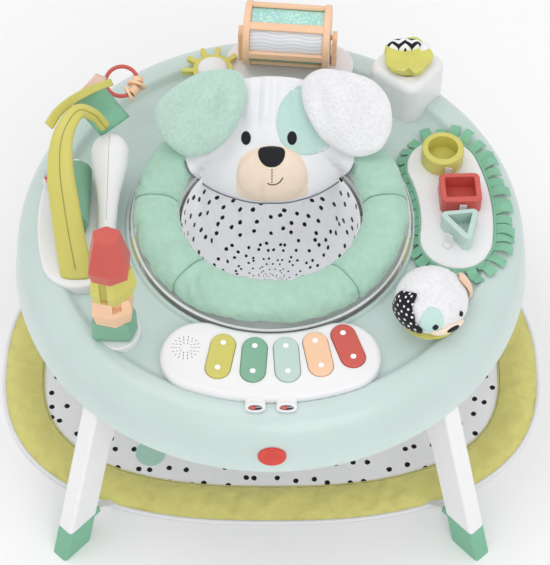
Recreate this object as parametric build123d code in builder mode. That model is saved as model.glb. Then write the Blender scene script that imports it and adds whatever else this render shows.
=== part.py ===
from build123d import *
import os
import math

# Activity jumper: a round toy tray on four splayed legs, a sprung and
# rotating seat in its centre, a padded floor mat below and toys around the
# rim.  Millimetres, +Z up.  Origin on the floor, on the seat's axis.
# Front is -Y (piano), rear +Y (drum), right +X (sorter), left -X (tree).

os.makedirs("parts", exist_ok=True)

# ---- driving dimensions ---------------------------------------------------
CENTRE = [(0, 0)]

# tray and the pan below it
TRAY_R = 400.0        # radius of the skirt's lower edge
TRAY_TOP = 415.0      # crest of the tray rim
TOY_Z = 402.0         # flat zone the toys stand on
SKIRT_Z = 325.0       # lower edge of the skirt
OPENING_R = 217.0     # tray opening round the seat
OPENING_TOP = 409.0   # lip round the opening
WALL = 3.0            # thickness of the tray shell and the pan
PAN_Z = 352.0         # underside of the pan
PAN_R, PAN_IN = 388.0, 221.0
GAP = 0.3             # gap between the toys and the tray
SINK_Z = 380.0        # toys start here, then are cut to the tray's surface
SCREW_R = 300.0       # circle of the eight pan screws
BOSS_Z = 355.6

# legs, as (radius, height) in the leg plane
LEG_AZ = 47.0         # leg direction from +X, mirrored to four
LEG_FOOT_R = 496.8    # outer face of a leg at the floor
LEG_SLOPE = 0.3132    # inward lean per mm of height
LEG_DEPTH = 57.0      # radial depth of a leg
LEG_HALF = 15.0       # half of a leg's tangential width
LEG_Z0 = 62.0         # lower end of a leg's full section
LEG_HEAD_IN, LEG_HEAD_OUT = 302.0, 386.0   # radial extent of a leg's head
LEG_EDGE_R = 5.5      # rounding of the long edges of legs and feet
FOOT_Z = 61.5         # top of the foot cap

# mat
MAT_Z = 1.0
MAT_A, MAT_B, MAT_N = 456.0, 309.0, 2.5   # outline half axes and power
MAT_BORDER = 68.0     # width of the padded border

# suspension and seat
SPRING_R = 250.0      # spring circle
CUSHION_R, CUSHION_IN = 211.0, 137.0
CUSHION_Z0, CUSHION_Z1 = 410.0, 458.0

# toys
DRUM_R, DRUM_L = 52.5, 138.0
DRUM_CENTRE = Vector(27, 325, 474.5)
DRUM_AXIS = Vector(0.9962, -0.0872, 0)
SUN = (-94.0, 288.0)
STACK = (-229.0, -209.0)
PEEK = (236.0, -183.0)
BOX_W = 94.0
PIANO_W, TILE_W, POD_W, DRUM_BASE_W = 118.0, 112.0, 114.0, 96.0
WELL_Y = -275.0       # centre of the piano's battery well

# centre lines of the curved toy bases: centre, radius, start angle, arc size
PIANO_ARC = CenterArc((0, 0), 280.0, -111.6, 43.0)
PIANO_PLATE_ARC = CenterArc((0, 0), 276.0, -109.6, 37.2)
TILE_ARC = CenterArc((0, 0), 286.0, -8.6, 28.6)
POD_ARC = CenterArc((0, 0), 301.0, 171.5, 24.0)
DRUM_ARC = CenterArc((0, 0), 322.0, 74.5, 20.0)


# ---- places and planes ----------------------------------------------------
def turned(radius, angle, centre=(0, 0)):
    """Location on a circle, turned to face outwards."""
    x = centre[0] + radius * math.cos(math.radians(angle))
    y = centre[1] + radius * math.sin(math.radians(angle))
    return Location((x, y, 0), (0, 0, angle))


def at_height(z):
    return Plane.XY.offset(z)


def across_y(y):
    """Upright plane at y: local x is X, local y is Z, normal to the front."""
    return Plane.XZ.offset(-y)


def upright_plane(place):
    """Upright plane through a place: local x is the radius, local y is Z."""
    return Plane(origin=(*place, 0), x_dir=(1, 0, 0), z_dir=(0, -1, 0))


def upright_axis(place):
    return Axis((*place, 0), (0, 0, 1))


SCREW_PLACES = [turned(SCREW_R, 22.5 + 45 * i) for i in range(8)]
SPRING_PLACES = [turned(SPRING_R, 45 + 90 * i) for i in range(4)]
BOX = turned(339.0, 50.3)

# plane of the front left leg: local x is radial, local y is up
leg_cos = math.cos(math.radians(180 + LEG_AZ))
leg_sin = math.sin(math.radians(180 + LEG_AZ))
LEG_PLANE = Plane(origin=(0, 0, 0), x_dir=(leg_cos, leg_sin, 0), z_dir=(leg_sin, -leg_cos, 0))


# ---- shared shapes; those that extrude act on the caller's BuildPart --------
def discs(places, radius, z, height, bore=None, mode=Mode.ADD):
    """Upright discs, or rings if a bore is given."""
    with BuildSketch(at_height(z)) as outline:
        with Locations(*places):
            Circle(radius)
            if bore:
                Circle(bore, mode=Mode.SUBTRACT)
    extrude(outline.sketch, amount=height, mode=mode)


def arc_plate(arc, width, z, height, mode=Mode.ADD):
    """Round-ended plate that follows an arc."""
    with BuildSketch(at_height(z)) as outline:
        SlotArc(arc, width)
    extrude(outline.sketch, amount=height, mode=mode)


def well_block(length, width, corner, z, height, mode=Mode.ADD):
    """Rounded block centred on the battery well."""
    with BuildSketch(at_height(z)) as outline:
        with Locations((0, WELL_Y)):
            RectangleRounded(length, width, corner)
    extrude(outline.sketch, amount=height, mode=mode)


def leg_slab(points, half_width, mode=Mode.ADD):
    """Side outline in the leg plane, thickened to both sides."""
    with BuildSketch(LEG_PLANE) as side:
        with BuildLine():
            Polyline(*points, close=True)
        make_face()
    extrude(side.sketch, amount=half_width, both=True, mode=mode)


def mirror_to_four(builder):
    """Repeat the front left shape at all four legs."""
    mirror(builder.part, about=Plane.YZ)
    mirror(builder.part, about=Plane.XZ)


def top_edges(builder):
    return builder.faces().sort_by(Axis.Z)[-1].edges()


def near(builder, x, y):
    """Vertices of a sketch at one place."""
    return [v for v in builder.vertices() if abs(v.X - x) < 0.6 and abs(v.Y - y) < 0.6]


# ---- tray section ---------------------------------------------------------
# closed outline of the filled tray, (radius, z)
TRAY_OUTLINE = [
    (OPENING_R, 300), (OPENING_R, OPENING_TOP), (222.5, OPENING_TOP), (225.5, TOY_Z),
    (326, TOY_Z), (338, TRAY_TOP), (386, TRAY_TOP), (TRAY_R, SKIRT_Z), (403.9, 300),
]
# rounded corners: radius, z, fillet
TRAY_FILLETS = [
    (386, TRAY_TOP, 46), (326, TOY_Z, 12), (338, TRAY_TOP, 8),
    (OPENING_R, OPENING_TOP, 2.4), (222.5, OPENING_TOP, 2.4), (225.5, TOY_Z, 3.0),
]


def tray_section(grow=0.0):
    """Radial section of the filled tray, grown outwards by a gap."""
    with BuildSketch(Plane.XZ) as section:
        with BuildLine():
            Polyline(*TRAY_OUTLINE, close=True)
        make_face()
        for x, y, radius in TRAY_FILLETS:
            fillet(near(section, x, y), radius)
        if grow:
            offset(amount=grow)
    return section.sketch


TRAY_CLEARANCE = tray_section(GAP)


def cut_to_tray():
    """Shape the underside of a toy to stand clear of the tray."""
    revolve(TRAY_CLEARANCE, axis=Axis.Z, mode=Mode.SUBTRACT)


# ===========================================================================
# Tray, underframe, legs, mat
# ===========================================================================
def tray_top():
    """Shell of the tray, with screw bosses and a window for the battery well."""
    with BuildPart() as tray:
        revolve(tray_section(), axis=Axis.Z)
        revolve(tray_section(-WALL), axis=Axis.Z, mode=Mode.SUBTRACT)
        # open the shell below the skirt, then the lower part of the inner wall
        discs(CENTRE, 420, z=290, height=SKIRT_Z - 290, bore=205, mode=Mode.SUBTRACT)
        discs(CENTRE, 240, z=300, height=88, bore=205, mode=Mode.SUBTRACT)
        # screw bosses down to the pan
        discs(SCREW_PLACES, 6, z=BOSS_Z, height=44.5)
        discs(SCREW_PLACES, 2.1, z=BOSS_Z, height=26, mode=Mode.SUBTRACT)
        well_block(106, 62, corner=6, z=395, height=12, mode=Mode.SUBTRACT)
    return tray.part


def tray_underframe():
    """Ring-shaped pan with edge ribs, leg sockets and spring anchors."""
    rib_z = PAN_Z + 2
    socket_z = 327
    slack = 0.8           # total play of a leg in its socket
    hole_length = LEG_HEAD_OUT - LEG_HEAD_IN + slack
    hole_width = 2 * LEG_HALF + slack
    socket_r = (LEG_HEAD_IN + LEG_HEAD_OUT) / 2
    leg_angles = (LEG_AZ, 180 - LEG_AZ, 180 + LEG_AZ, -LEG_AZ)
    with BuildPart() as pan:
        discs(CENTRE, PAN_R, z=PAN_Z, height=WALL, bore=PAN_IN)
        discs(CENTRE, PAN_IN + WALL, z=rib_z, height=30, bore=PAN_IN)
        discs(CENTRE, PAN_R, z=rib_z, height=12, bore=PAN_R - WALL)
        with BuildSketch(at_height(socket_z)) as sockets:
            with Locations(*[turned(socket_r, angle) for angle in leg_angles]):
                RectangleRounded(hole_length + 2 * WALL, hole_width + 2 * WALL, 4)
                Rectangle(hole_length, hole_width, mode=Mode.SUBTRACT)
        extrude(sockets.sketch, amount=PAN_Z - socket_z + 1)
        # spring anchors
        discs(SPRING_PLACES, 7, z=344, height=9)
        # screw holes, and the opening below the battery well
        discs(SCREW_PLACES, 2.4, z=350, height=8, mode=Mode.SUBTRACT)
        well_block(124, 78, corner=8, z=350, height=8, mode=Mode.SUBTRACT)
    return pan.part


def frame_screws():
    """Eight cross-head screws, heads below the pan."""
    slot_length, slot_width = 5, 0.9
    with BuildPart() as screws:
        discs(SCREW_PLACES, 4.4, z=349.4, height=2.5)
        discs(SCREW_PLACES, 1.95, z=351.5, height=26)
        with BuildSketch(at_height(349)):
            with Locations(*SCREW_PLACES):
                Rectangle(slot_length, slot_width)
                Rectangle(slot_width, slot_length)
        extrude(amount=1.4, mode=Mode.SUBTRACT)
    return screws.part


def leg_outer(z):
    """Radius of a leg's outer face at a height."""
    return LEG_FOOT_R - LEG_SLOPE * z


def leg_profile(z0, z1, inset):
    """Corners of a leg's side profile between two heights, in (r, z)."""
    def outer(z):
        return leg_outer(z) - inset

    def inner(z):
        return leg_outer(z) - LEG_DEPTH + inset

    return [(outer(z0), z0), (outer(z1), z1), (inner(z1), z1), (inner(z0), z0)]


def leg_front_left():
    """Leg that widens into a head for the socket, with a spigot for the foot."""
    head_top = 351.5
    with BuildPart() as leg:
        with BuildSketch(LEG_PLANE):
            with BuildLine():
                outer = Line((leg_outer(LEG_Z0), LEG_Z0), (395.0, 325.0))
                head = Polyline(outer @ 1, (LEG_HEAD_OUT, 325.5), (LEG_HEAD_OUT, head_top),
                                (LEG_HEAD_IN, head_top), (LEG_HEAD_IN, 325))
                curve = Spline(head @ 1, (320, 300), (349, 254), (377.2, 200),
                               tangents=[(0.35, -1), (LEG_SLOPE, -1)])
                inner = Line(curve @ 1, (leg_outer(LEG_Z0) - LEG_DEPTH, LEG_Z0))
                Line(inner @ 1, outer @ 0)
            make_face()
        extrude(amount=LEG_HALF, both=True)
        long_edges = [e for e in leg.edges() if e.length > 130 and e.center().Z < 320]
        fillet(long_edges, LEG_EDGE_R)
        leg_slab(leg_profile(22, 66, inset=8), half_width=8)
    return leg.part


def mirrored(part, plane):
    with BuildPart() as copy:
        mirror(part, about=plane)
    return copy.part


def leg_feet():
    """Four foot caps, each with a hook for the mat strap and a spigot pocket."""
    # (radius, z), on the inner side of the foot
    hook = [(409, 43), (430, 43), (426, 58), (413, 58), (409, 54)]
    with BuildPart() as feet:
        leg_slab(leg_profile(0, FOOT_Z, inset=0), half_width=LEG_HALF)
        fillet([e for e in feet.edges() if e.length > 50 and abs(e.center().Z - 30) < 6],
               LEG_EDGE_R)
        leg_slab(hook, half_width=9)
        leg_slab(leg_profile(20, 75, inset=7.6), half_width=8.4, mode=Mode.SUBTRACT)
        mirror_to_four(feet)
    return feet.part


def front_badge():
    """Oval badge that follows the front of the skirt."""
    with BuildPart() as badge:
        revolve(tray_section(2.6), axis=Axis.Z)
        revolve(tray_section(0.2), axis=Axis.Z, mode=Mode.SUBTRACT)
        with BuildSketch(across_y(-370)) as oval:
            with Locations((2, 361)):
                Ellipse(20.5, 18.5)
        extrude(oval.sketch, amount=40, mode=Mode.INTERSECT)
    return badge.part


def superellipse(a, b, power, count=64):
    """Points of a superellipse with half axes a and b."""
    points = []
    for i in range(count):
        angle = 2 * math.pi * i / count
        c, s = math.cos(angle), math.sin(angle)
        points.append((math.copysign(a * abs(c) ** (2 / power), c),
                       math.copysign(b * abs(s) ** (2 / power), s)))
    return points


def play_mat():
    """Thin centre and a thicker padded border."""
    outline = superellipse(MAT_A, MAT_B, MAT_N)
    border_inner = superellipse(MAT_A - MAT_BORDER, MAT_B - MAT_BORDER, MAT_N)
    with BuildPart() as mat:
        with BuildSketch(at_height(MAT_Z)) as centre:
            with BuildLine():
                Spline(*outline, periodic=True)
            make_face()
        extrude(centre.sketch, amount=5)
        with BuildSketch(at_height(MAT_Z)) as border:
            with BuildLine():
                Spline(*outline, periodic=True)
            make_face()
            with BuildLine():
                Spline(*border_inner, periodic=True)
            make_face(mode=Mode.SUBTRACT)
        extrude(border.sketch, amount=14)
    return mat.part


def mat_straps():
    """Four straps from the mat up to the feet."""
    # (radius, z)
    side = [(408.2, 52), (372, 18.2), (358, 16.8), (358, 15.4), (373, 16.4), (408.2, 49.6)]
    with BuildPart() as straps:
        leg_slab(side, half_width=6)
        mirror_to_four(straps)
    return straps.part


# ===========================================================================
# Suspension and rotating seat
# ===========================================================================
def suspension_springs():
    with BuildPart() as spring:
        with BuildLine() as coil:
            Helix(pitch=7.0, height=63, radius=9, center=(0, 0, 277.5))
        with BuildSketch(Plane(origin=coil.line @ 0, z_dir=coil.line % 0)) as wire:
            Circle(1.2)
        sweep(wire.sketch, path=coil.line, is_frenet=True)
    with BuildPart() as springs:
        with PolarLocations(SPRING_R, 4, start_angle=45):
            add(spring.part)
    return springs.part


def spring_sleeves():
    with BuildPart() as sleeves:
        discs(SPRING_PLACES, 16, z=272.6, height=78.8, bore=13.5)
    return sleeves.part


def bounce_ring():
    """Sprung ring with four lobes, a rail for the seat and spring seats."""
    with BuildPart() as ring:
        with BuildSketch(at_height(262)) as plate:
            Circle(212)
            with PolarLocations(236, 4, start_angle=45):
                RectangleRounded(66, 34, 8)
            Circle(176, mode=Mode.SUBTRACT)
        extrude(plate.sketch, amount=8)
        discs(CENTRE, 185.5, z=268, height=12, bore=181)
        discs(SPRING_PLACES, 6.8, z=268, height=7)
    return ring.part


# closed section of the seat ring, (radius, z)
SEAT_RING_OUTLINE = [
    (186, 270.4), (208, 270.4), (208, 275), (206, 279), (206, 402), (208, 405),
    (208, 409.4), (143, 409.4), (143, 405), (198, 405), (203, 400), (203, 279),
    (199, 275), (189, 275), (186, 278),
]


def seat_ring():
    """Turning ring: foot round the rail, wall, and top flange."""
    with BuildPart() as ring:
        with BuildSketch(Plane.XZ) as section:
            with BuildLine():
                Polyline(*SEAT_RING_OUTLINE, close=True)
            make_face()
        revolve(section.sketch, axis=Axis.Z)
    return ring.part


# the puppy-face pad leans over the rear of the seat opening
FACE_PLANE = Plane(origin=(0, 138, 436), x_dir=(1, 0, 0), z_dir=(0, -0.655, 0.755))
# outline of the face in its plane, (x, y)
FACE_OUTLINE = [
    (0, -98), (55, -90), (98, -66), (120, -28), (116, 18), (96, 58), (62, 88),
    (0, 99), (-62, 88), (-96, 58), (-116, 18), (-120, -28), (-98, -66), (-55, -90),
]


def puppy_face_pad():
    with BuildPart() as pad:
        with BuildSketch(FACE_PLANE.offset(-12)) as outline:
            with BuildLine():
                Spline(*FACE_OUTLINE, periodic=True)
            make_face()
        extrude(outline.sketch, amount=34)
        fillet(pad.edges(), 9)
        # keep clear of the seat ring
        discs(CENTRE, 300, z=300, height=111.5, bore=133, mode=Mode.SUBTRACT)
    return pad.part


def seat_cushion():
    """Padded ring, cut away where the face pad lies."""
    width, height = CUSHION_R - CUSHION_IN, CUSHION_Z1 - CUSHION_Z0
    with BuildPart() as cushion:
        with BuildSketch(Plane.XZ) as section:
            with Locations(((CUSHION_R + CUSHION_IN) / 2, (CUSHION_Z0 + CUSHION_Z1) / 2)):
                RectangleRounded(width, height, 21)
        revolve(section.sketch, axis=Axis.Z)
        with BuildSketch(FACE_PLANE.offset(-13.5)) as pad_room:
            with BuildLine():
                Polyline(*[(1.035 * x, 1.03 * y) for x, y in FACE_OUTLINE], close=True)
            make_face()
        extrude(pad_room.sketch, amount=160, mode=Mode.SUBTRACT)
    return cushion.part


def seat_sling():
    """Bowl-shaped seat with two leg holes."""
    rim_z = 404.5
    with BuildPart() as sling:
        with BuildSketch(Plane.XZ) as section:
            with BuildLine():
                rim = Line((142, rim_z), (139, rim_z))
                inside = Spline(rim @ 1, (135, 350), (122, 285), (78, 235), (0, 224),
                                tangents=[(0, -1), (-1, 0)])
                bottom = Line(inside @ 1, (0, 221))
                Spline(bottom @ 1, (80, 232), (125, 284), (138, 350), rim @ 0,
                       tangents=[(1, 0), (0, 1)])
            make_face()
        revolve(section.sketch, axis=Axis.Z)
        for side in (-1, 1):
            hole_plane = Plane(origin=(side * 52, -40, 262), x_dir=(0.9, side * 0.436, 0),
                               z_dir=(side * 0.436, -0.9, -0.35))
            with BuildSketch(hole_plane) as leg_hole:
                Ellipse(40, 46)
            extrude(leg_hole.sketch, amount=130, mode=Mode.SUBTRACT)
    return sling.part


def puppy_ears():
    ear_plane = Plane(origin=(-104.3, 140, 494), x_dir=(0.984, 0, -0.18),
                      z_dir=(0.15, -0.55, 0.82))
    with BuildPart() as ears:
        with BuildSketch(ear_plane) as outline:
            Ellipse(71, 61)
        extrude(outline.sketch, amount=34)
        fillet(ears.edges(), 12)
        mirror(ears.part, about=Plane.YZ)
    return ears.part


# ===========================================================================
# Spinning drum at the rear
# ===========================================================================
DRUM_END_T = 11.0         # thickness of the cage's end discs
POST_T = 7.5              # thickness of the drum posts
POST_GAP = 3.0            # gap between cage and post


def drum_plane(along):
    """Plane across the drum axis, some way from its left end; local x is up."""
    start = DRUM_CENTRE - DRUM_AXIS * (DRUM_L / 2)
    return Plane(origin=start + DRUM_AXIS * along, x_dir=(0, 0, 1), z_dir=DRUM_AXIS)


def drum_disc(radius, along, length):
    """Disc on the drum axis."""
    with BuildSketch(drum_plane(along)) as outline:
        Circle(radius)
    extrude(outline.sketch, amount=length)


def drum_base():
    with BuildPart() as base:
        arc_plate(DRUM_ARC, DRUM_BASE_W, z=SINK_Z, height=41)
        fillet(top_edges(base), 3)
        cut_to_tray()
    return base.part


def drum_posts():
    foot = -53.3          # foot of a post, from the drum axis
    with BuildPart() as posts:
        for along in (-POST_GAP - POST_T, DRUM_L + POST_GAP):
            with BuildSketch(drum_plane(along)) as side:
                with BuildLine():
                    Polyline((foot, -12), (0, -11), (0, 11), (foot, 12), close=True)
                make_face()
                Circle(11)
                Circle(4.06, mode=Mode.SUBTRACT)
            extrude(side.sketch, amount=POST_T)
    return posts.part


def drum_cage():
    """Two end discs joined by six bars, with a stub axle at each end."""
    stub_length = 11.4
    with BuildPart() as cage:
        for along in (0.0, DRUM_L - DRUM_END_T):
            drum_disc(DRUM_R, along, DRUM_END_T)
        fillet(cage.edges().filter_by(GeomType.CIRCLE), 2.5)
        with BuildSketch(drum_plane(10)) as bars:
            with PolarLocations(47.5, 6, start_angle=30):
                RectangleRounded(6.6, 13, 2)
        extrude(bars.sketch, amount=DRUM_L - 20)
        for along in (1 - stub_length, DRUM_L - 1):
            drum_disc(4.0, along, stub_length)
    return cage.part


def drum_core():
    """Round core between the end discs."""
    start = DRUM_END_T + 0.3
    with BuildPart() as core:
        drum_disc(43.6, start, DRUM_L - 2 * start)
    return core.part


# ===========================================================================
# Bat-at sun, rear left
# ===========================================================================
def sun_base():
    """Domed hub with a groove for the wheel."""
    with BuildPart() as base:
        with BuildSketch(upright_plane(SUN)) as section:
            with BuildLine():
                side = Polyline((0, TOY_Z + GAP), (26, TOY_Z + GAP), (26, 405), (23, 408),
                                (21.95, 408), (21.95, 434.5), (24.2, 435), (23.6, 437))
                dome = Spline(side @ 1, (15, 443), (0, 446), tangents=[(-0.5, 1), (-1, 0)])
                Line(dome @ 1, side @ 0)
            make_face()
        revolve(section.sketch, axis=upright_axis(SUN))
        cut_to_tray()
    return base.part


def sun_wheel():
    """Ring with six rays on one side."""
    with BuildPart() as wheel:
        discs([SUN], 32, z=424.2, height=9.8, bore=22.02)
        with BuildSketch(at_height(425.2)) as rays:
            for angle in (42, 80, 112, 146, 180, 212):
                with Locations(turned(40, angle, centre=SUN)):
                    SlotOverall(21, 8.4)
        extrude(rays.sketch, amount=7.6)
    return wheel.part


# ===========================================================================
# Tree station on the left: pod, trunk, pear knob, roller, leaves, rattle
# ring and mirror
# ===========================================================================
ROLLER = (-301, 440)      # roller axis, (x, z)
MIRROR_STEM = (-346, 58)


def roller_disc(radius, y, length, mode=Mode.ADD):
    """Disc on the roller axis, from y towards the front."""
    with BuildSketch(across_y(y)) as outline:
        with Locations(ROLLER):
            Circle(radius)
    extrude(outline.sketch, amount=length, mode=mode)


def tree_pod():
    """Curved base with a roller pocket and a mirror socket."""
    with BuildPart() as pod:
        arc_plate(POD_ARC, POD_W, z=SINK_Z, height=41)
        fillet(top_edges(pod), 5)
        cut_to_tray()
        # pocket for the roller, with two bearing lugs
        roller_disc(26.5, y=78, length=116, mode=Mode.SUBTRACT)
        for y, thickness in ((90, 8), (-46, -8)):
            with BuildSketch(across_y(y)) as lug:
                with BuildLine():
                    Polyline((-309, 416), (-293, 416), (-295, 440), (-307, 440), close=True)
                make_face()
                with Locations(ROLLER):
                    Circle(7)
                    Circle(3.06, mode=Mode.SUBTRACT)
            extrude(lug.sketch, amount=thickness)
        # socket for the mirror's stem
        discs([MIRROR_STEM], 7, z=418, height=14)
        discs([MIRROR_STEM], 4.06, z=417, height=20, mode=Mode.SUBTRACT)
    return pod.part


# stations up the trunk: x, y, z, half width, half thickness
TRUNK = [
    (-291, -112, 421.4, 25, 12), (-300, -76, 455, 23, 11),
    (-308, -38, 497, 22, 10), (-313, -2, 535, 21, 9),
    (-309, 36, 564, 20, 9), (-290, 74, 574, 16, 9),
    (-268, 88, 553, 13, 8), (-253, 92, 522, 11.5, 7.5),
]
TRUNK_THIN_DIR = Vector(0, 0.589, -0.808)    # the sections' widths are square to this


def tree_trunk():
    """Arched trunk, flat on the pod at its foot."""
    centres = [Vector(x, y, z) for x, y, z, _, _ in TRUNK]
    with BuildPart() as trunk:
        sections = []
        for i, (_, _, _, half_width, half_thickness) in enumerate(TRUNK):
            before = centres[max(i - 1, 0)]
            after = centres[min(i + 1, len(TRUNK) - 1)]
            tangent = Vector(0, 0, 1) if i == 0 else (after - before).normalized()
            width_dir = tangent.cross(TRUNK_THIN_DIR).normalized()
            station = Plane(origin=centres[i], x_dir=width_dir, z_dir=tangent)
            with BuildSketch(station) as trunk_slice:
                RectangleRounded(half_width * 2, half_thickness * 2, half_thickness * 0.8)
            sections.append(trunk_slice.sketch)
        loft(sections)
    return trunk.part


def tree_knob():
    """Pear-shaped knob leaning up and to the rear from the pod."""
    start = Vector(-250, -38, 424.0)
    end = Vector(-246, 84, 482)
    axis_dir = (end - start).normalized()
    length = (end - start).length
    side_dir = (Vector(0, 0, 1) - axis_dir * axis_dir.Z).normalized()
    # local x is the radius, local y runs along the pear
    pear_plane = Plane(origin=start, x_dir=side_dir, z_dir=side_dir.cross(axis_dir))
    with BuildPart() as knob:
        with BuildSketch(pear_plane) as section:
            with BuildLine():
                foot = Line((0, -6), (13, -6))
                side = Spline(foot @ 1, (14.5, 10), (14.5, 45), (22, 85), (26.5, length - 4),
                              (16, length + 20), (0, length + 26),
                              tangents=[(0.2, 1), (-1, 0)])
                Line(side @ 1, foot @ 0)
            make_face()
        revolve(section.sketch, axis=Axis(start, axis_dir))
        # trim the foot just above the pod
        discs(CENTRE, 460, z=400, height=21.4, mode=Mode.SUBTRACT)
    return knob.part


def green_roller():
    with BuildPart() as roller:
        roller_disc(24.5, y=75, length=110)
        fillet(roller.edges().filter_by(GeomType.CIRCLE), 5)
        roller_disc(3, y=89, length=134)
    return roller.part


def tree_leaves():
    """Flat branch strip and one faceted leaf."""
    branch_plane = Plane(origin=(-300, 140, 571), x_dir=(0.40, 0.88, -0.25),
                         z_dir=(0.05, 0.25, 0.97))
    leaf_plane = Plane(origin=(-266, 156, 522), x_dir=(0.63, -0.10, -0.77),
                       z_dir=(0.77, 0.0, 0.63))
    with BuildPart() as leaves:
        with BuildSketch(branch_plane) as branch:
            Rectangle(150, 22)
        extrude(branch.sketch, amount=2.5)
        with BuildSketch(leaf_plane) as leaf:
            with BuildLine():
                Polyline((-44, -36), (-18, 40), (24, 46), (54, 12), (42, -30), (0, -44),
                         close=True)
            make_face()
            fillet(leaf.vertices(), 6)
        extrude(leaf.sketch, amount=3)
    return leaves.part


# rattle ring near the branch, tilted about X
RATTLE_CENTRE = Vector(-236, 226, 474)
RATTLE_R = 25
RATTLE_X = Vector(1, 0, 0)
RATTLE_Y = Vector(0, 0.937, 0.35)
RATTLE_NORMAL = Vector(0, -0.35, 0.937)


def ring_rattle():
    with BuildPart() as ring:
        with BuildSketch(Plane(origin=RATTLE_CENTRE + RATTLE_X * RATTLE_R,
                               x_dir=RATTLE_X, z_dir=RATTLE_Y)) as wire:
            Circle(3.2)
        revolve(wire.sketch, axis=Axis(RATTLE_CENTRE, RATTLE_NORMAL))
    return ring.part


# beads on the ring: angle, radius, thickness
BEADS = [(-62, 14, 4), (-38, 8.5, 13), (-16, 15, 4), (4, 9, 8)]


def rattle_beads():
    with BuildPart() as beads:
        for angle, radius, thickness in BEADS:
            c, s = math.cos(math.radians(angle)), math.sin(math.radians(angle))
            outward = RATTLE_X * c + RATTLE_Y * s
            along = RATTLE_Y * c - RATTLE_X * s
            start = RATTLE_CENTRE + outward * RATTLE_R - along * (thickness / 2)
            with BuildSketch(Plane(origin=start, x_dir=outward, z_dir=along)) as bead:
                Circle(radius)
                Circle(4.6, mode=Mode.SUBTRACT)
            extrude(bead.sketch, amount=thickness)
    return beads.part


def mirror_disc():
    """Oval mirror on an upright stem."""
    with BuildPart() as disc:
        with BuildSketch(Plane(origin=(-342, 58, 484), x_dir=(0, 1, 0),
                               z_dir=(-1, 0, 0))) as oval:
            Ellipse(30, 34)
        extrude(oval.sketch, amount=8)
        fillet(disc.edges(), 2.5)
        discs([MIRROR_STEM], 4, z=417.5, height=36)
    return disc.part


# ===========================================================================
# Stack of spinning blocks, front left
# ===========================================================================
def toy_stand(place, radius, height, post_radius, post_height):
    """Round base on the tray with an upright post."""
    with BuildPart() as stand:
        discs([place], radius, z=TOY_Z + GAP, height=height)
        fillet(top_edges(stand), 2.5)
        discs([place], post_radius, z=406, height=post_height)
        cut_to_tray()
    return stand.part


def stack_base():
    return toy_stand(STACK, radius=37, height=12.8, post_radius=5, post_height=204)


# levels of each block: z, then the corners about the stack's axis
GREEN_LEVELS = [
    (415.6, [(-28, -22), (22, -24), (30, -8), (27, 20), (-22, 22), (-31, 2)]),
    (429, [(-32, -26), (25, -27), (34, -8), (30, 23), (-25, 25), (-35, 2)]),
    (455, [(-29, -19), (19, -21), (27, -6), (24, 17), (-22, 19), (-30, 2)]),
]
PEACH_LEVELS = [
    (455.4, [(-24, -20), (4, -27), (26, -14), (28, 12), (2, 24), (-27, 14)]),
    (480, [(-29, -22), (0, -30), (29, -16), (30, 14), (3, 27), (-30, 16)]),
    (504, [(-27, -16), (0, -22), (25, -12), (27, 12), (3, 22), (-27, 13)]),
]
LIME_LEVELS = [
    (504.4, [(-22, -18), (8, -24), (30, -4), (24, 16), (-4, 26), (-24, 12)]),
    (528, [(-28, -20), (6, -30), (38, 2), (30, 22), (-4, 30), (-30, 14)]),
    (558, [(-25, -14), (6, -22), (33, 6), (26, 18), (-4, 22), (-26, 10)]),
]
RED_LEVELS = [
    (558.4, [(-23, -20), (3, -27), (27, -16), (29, 14), (0, 26), (-26, 13)]),
    (580, [(-27, -22), (2, -31), (29, -19), (31, 16), (0, 29), (-28, 15)]),
    (634, [(-16, -6), (2, -12), (17, -4), (19, 15), (0, 22), (-18, 14)]),
]


def level_sketches(levels):
    sketches = []
    for z, corners in levels:
        with BuildSketch(at_height(z)) as level:
            with Locations(STACK):
                Polygon(*corners, align=None)
        sketches.append(level.sketch)
    return sketches


def stack_block(levels, bore_z, bore_height=80, notch=None):
    """Faceted block with a bore for the post.

    A notch is (x, y, width, depth, z, height), x and y from the stack's axis.
    """
    with BuildPart() as block:
        loft(level_sketches(levels), ruled=True)
        if notch:
            x, y, width, depth, z, height = notch
            with BuildSketch(at_height(z)) as notch_outline:
                with Locations((STACK[0] + x, STACK[1] + y)):
                    Rectangle(width, depth)
            extrude(notch_outline.sketch, amount=height, mode=Mode.SUBTRACT)
        discs([STACK], 5.07, z=bore_z, height=bore_height, mode=Mode.SUBTRACT)
    return block.part


def block_green():
    return stack_block(GREEN_LEVELS, bore_z=400)


def block_peach():
    return stack_block(PEACH_LEVELS, bore_z=440, notch=(8, -26, 13, 22, 488, 30))


def block_lime():
    return stack_block(LIME_LEVELS, bore_z=495, notch=(-9, -24, 11, 20, 500, 70))


def block_red():
    """Top block; its bore is blind."""
    return stack_block(RED_LEVELS, bore_z=550, bore_height=61)


# ===========================================================================
# Light and sound piano, front
# ===========================================================================
KEYS = {  # centre, direction of the long axis
    "lime": ((-73, -265.5), (-14, -79)),
    "green": ((-24.5, -271.5), (-5, -78)),
    "mint": ((23.5, -271.5), (5, -78)),
    "peach": ((69, -262), (14, -76)),
    "coral": ((113, -247.5), (24, -70)),
}
KEY_L, KEY_W, KEY_Z0, KEY_Z1 = 78.0, 37.0, 410.0, 430.0
KEY_PLAY = 1.4            # window larger than its key, in total
SPEAKER = (-124, -250)
POWER_X, VOLUME_X, SWITCH_Z = -22, 23, 419.3
WELL_L, WELL_W = 103, 59  # outside of the battery well
CELL_PLACES = [(WELL_Y + dy, 389.8) for dy in (-16, 0, 16)]    # (y, z)


def key_location(name):
    (x, y), (dx, dy) = KEYS[name]
    return Location((x, y, 0), (0, 0, math.degrees(math.atan2(dy, dx))))


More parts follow.
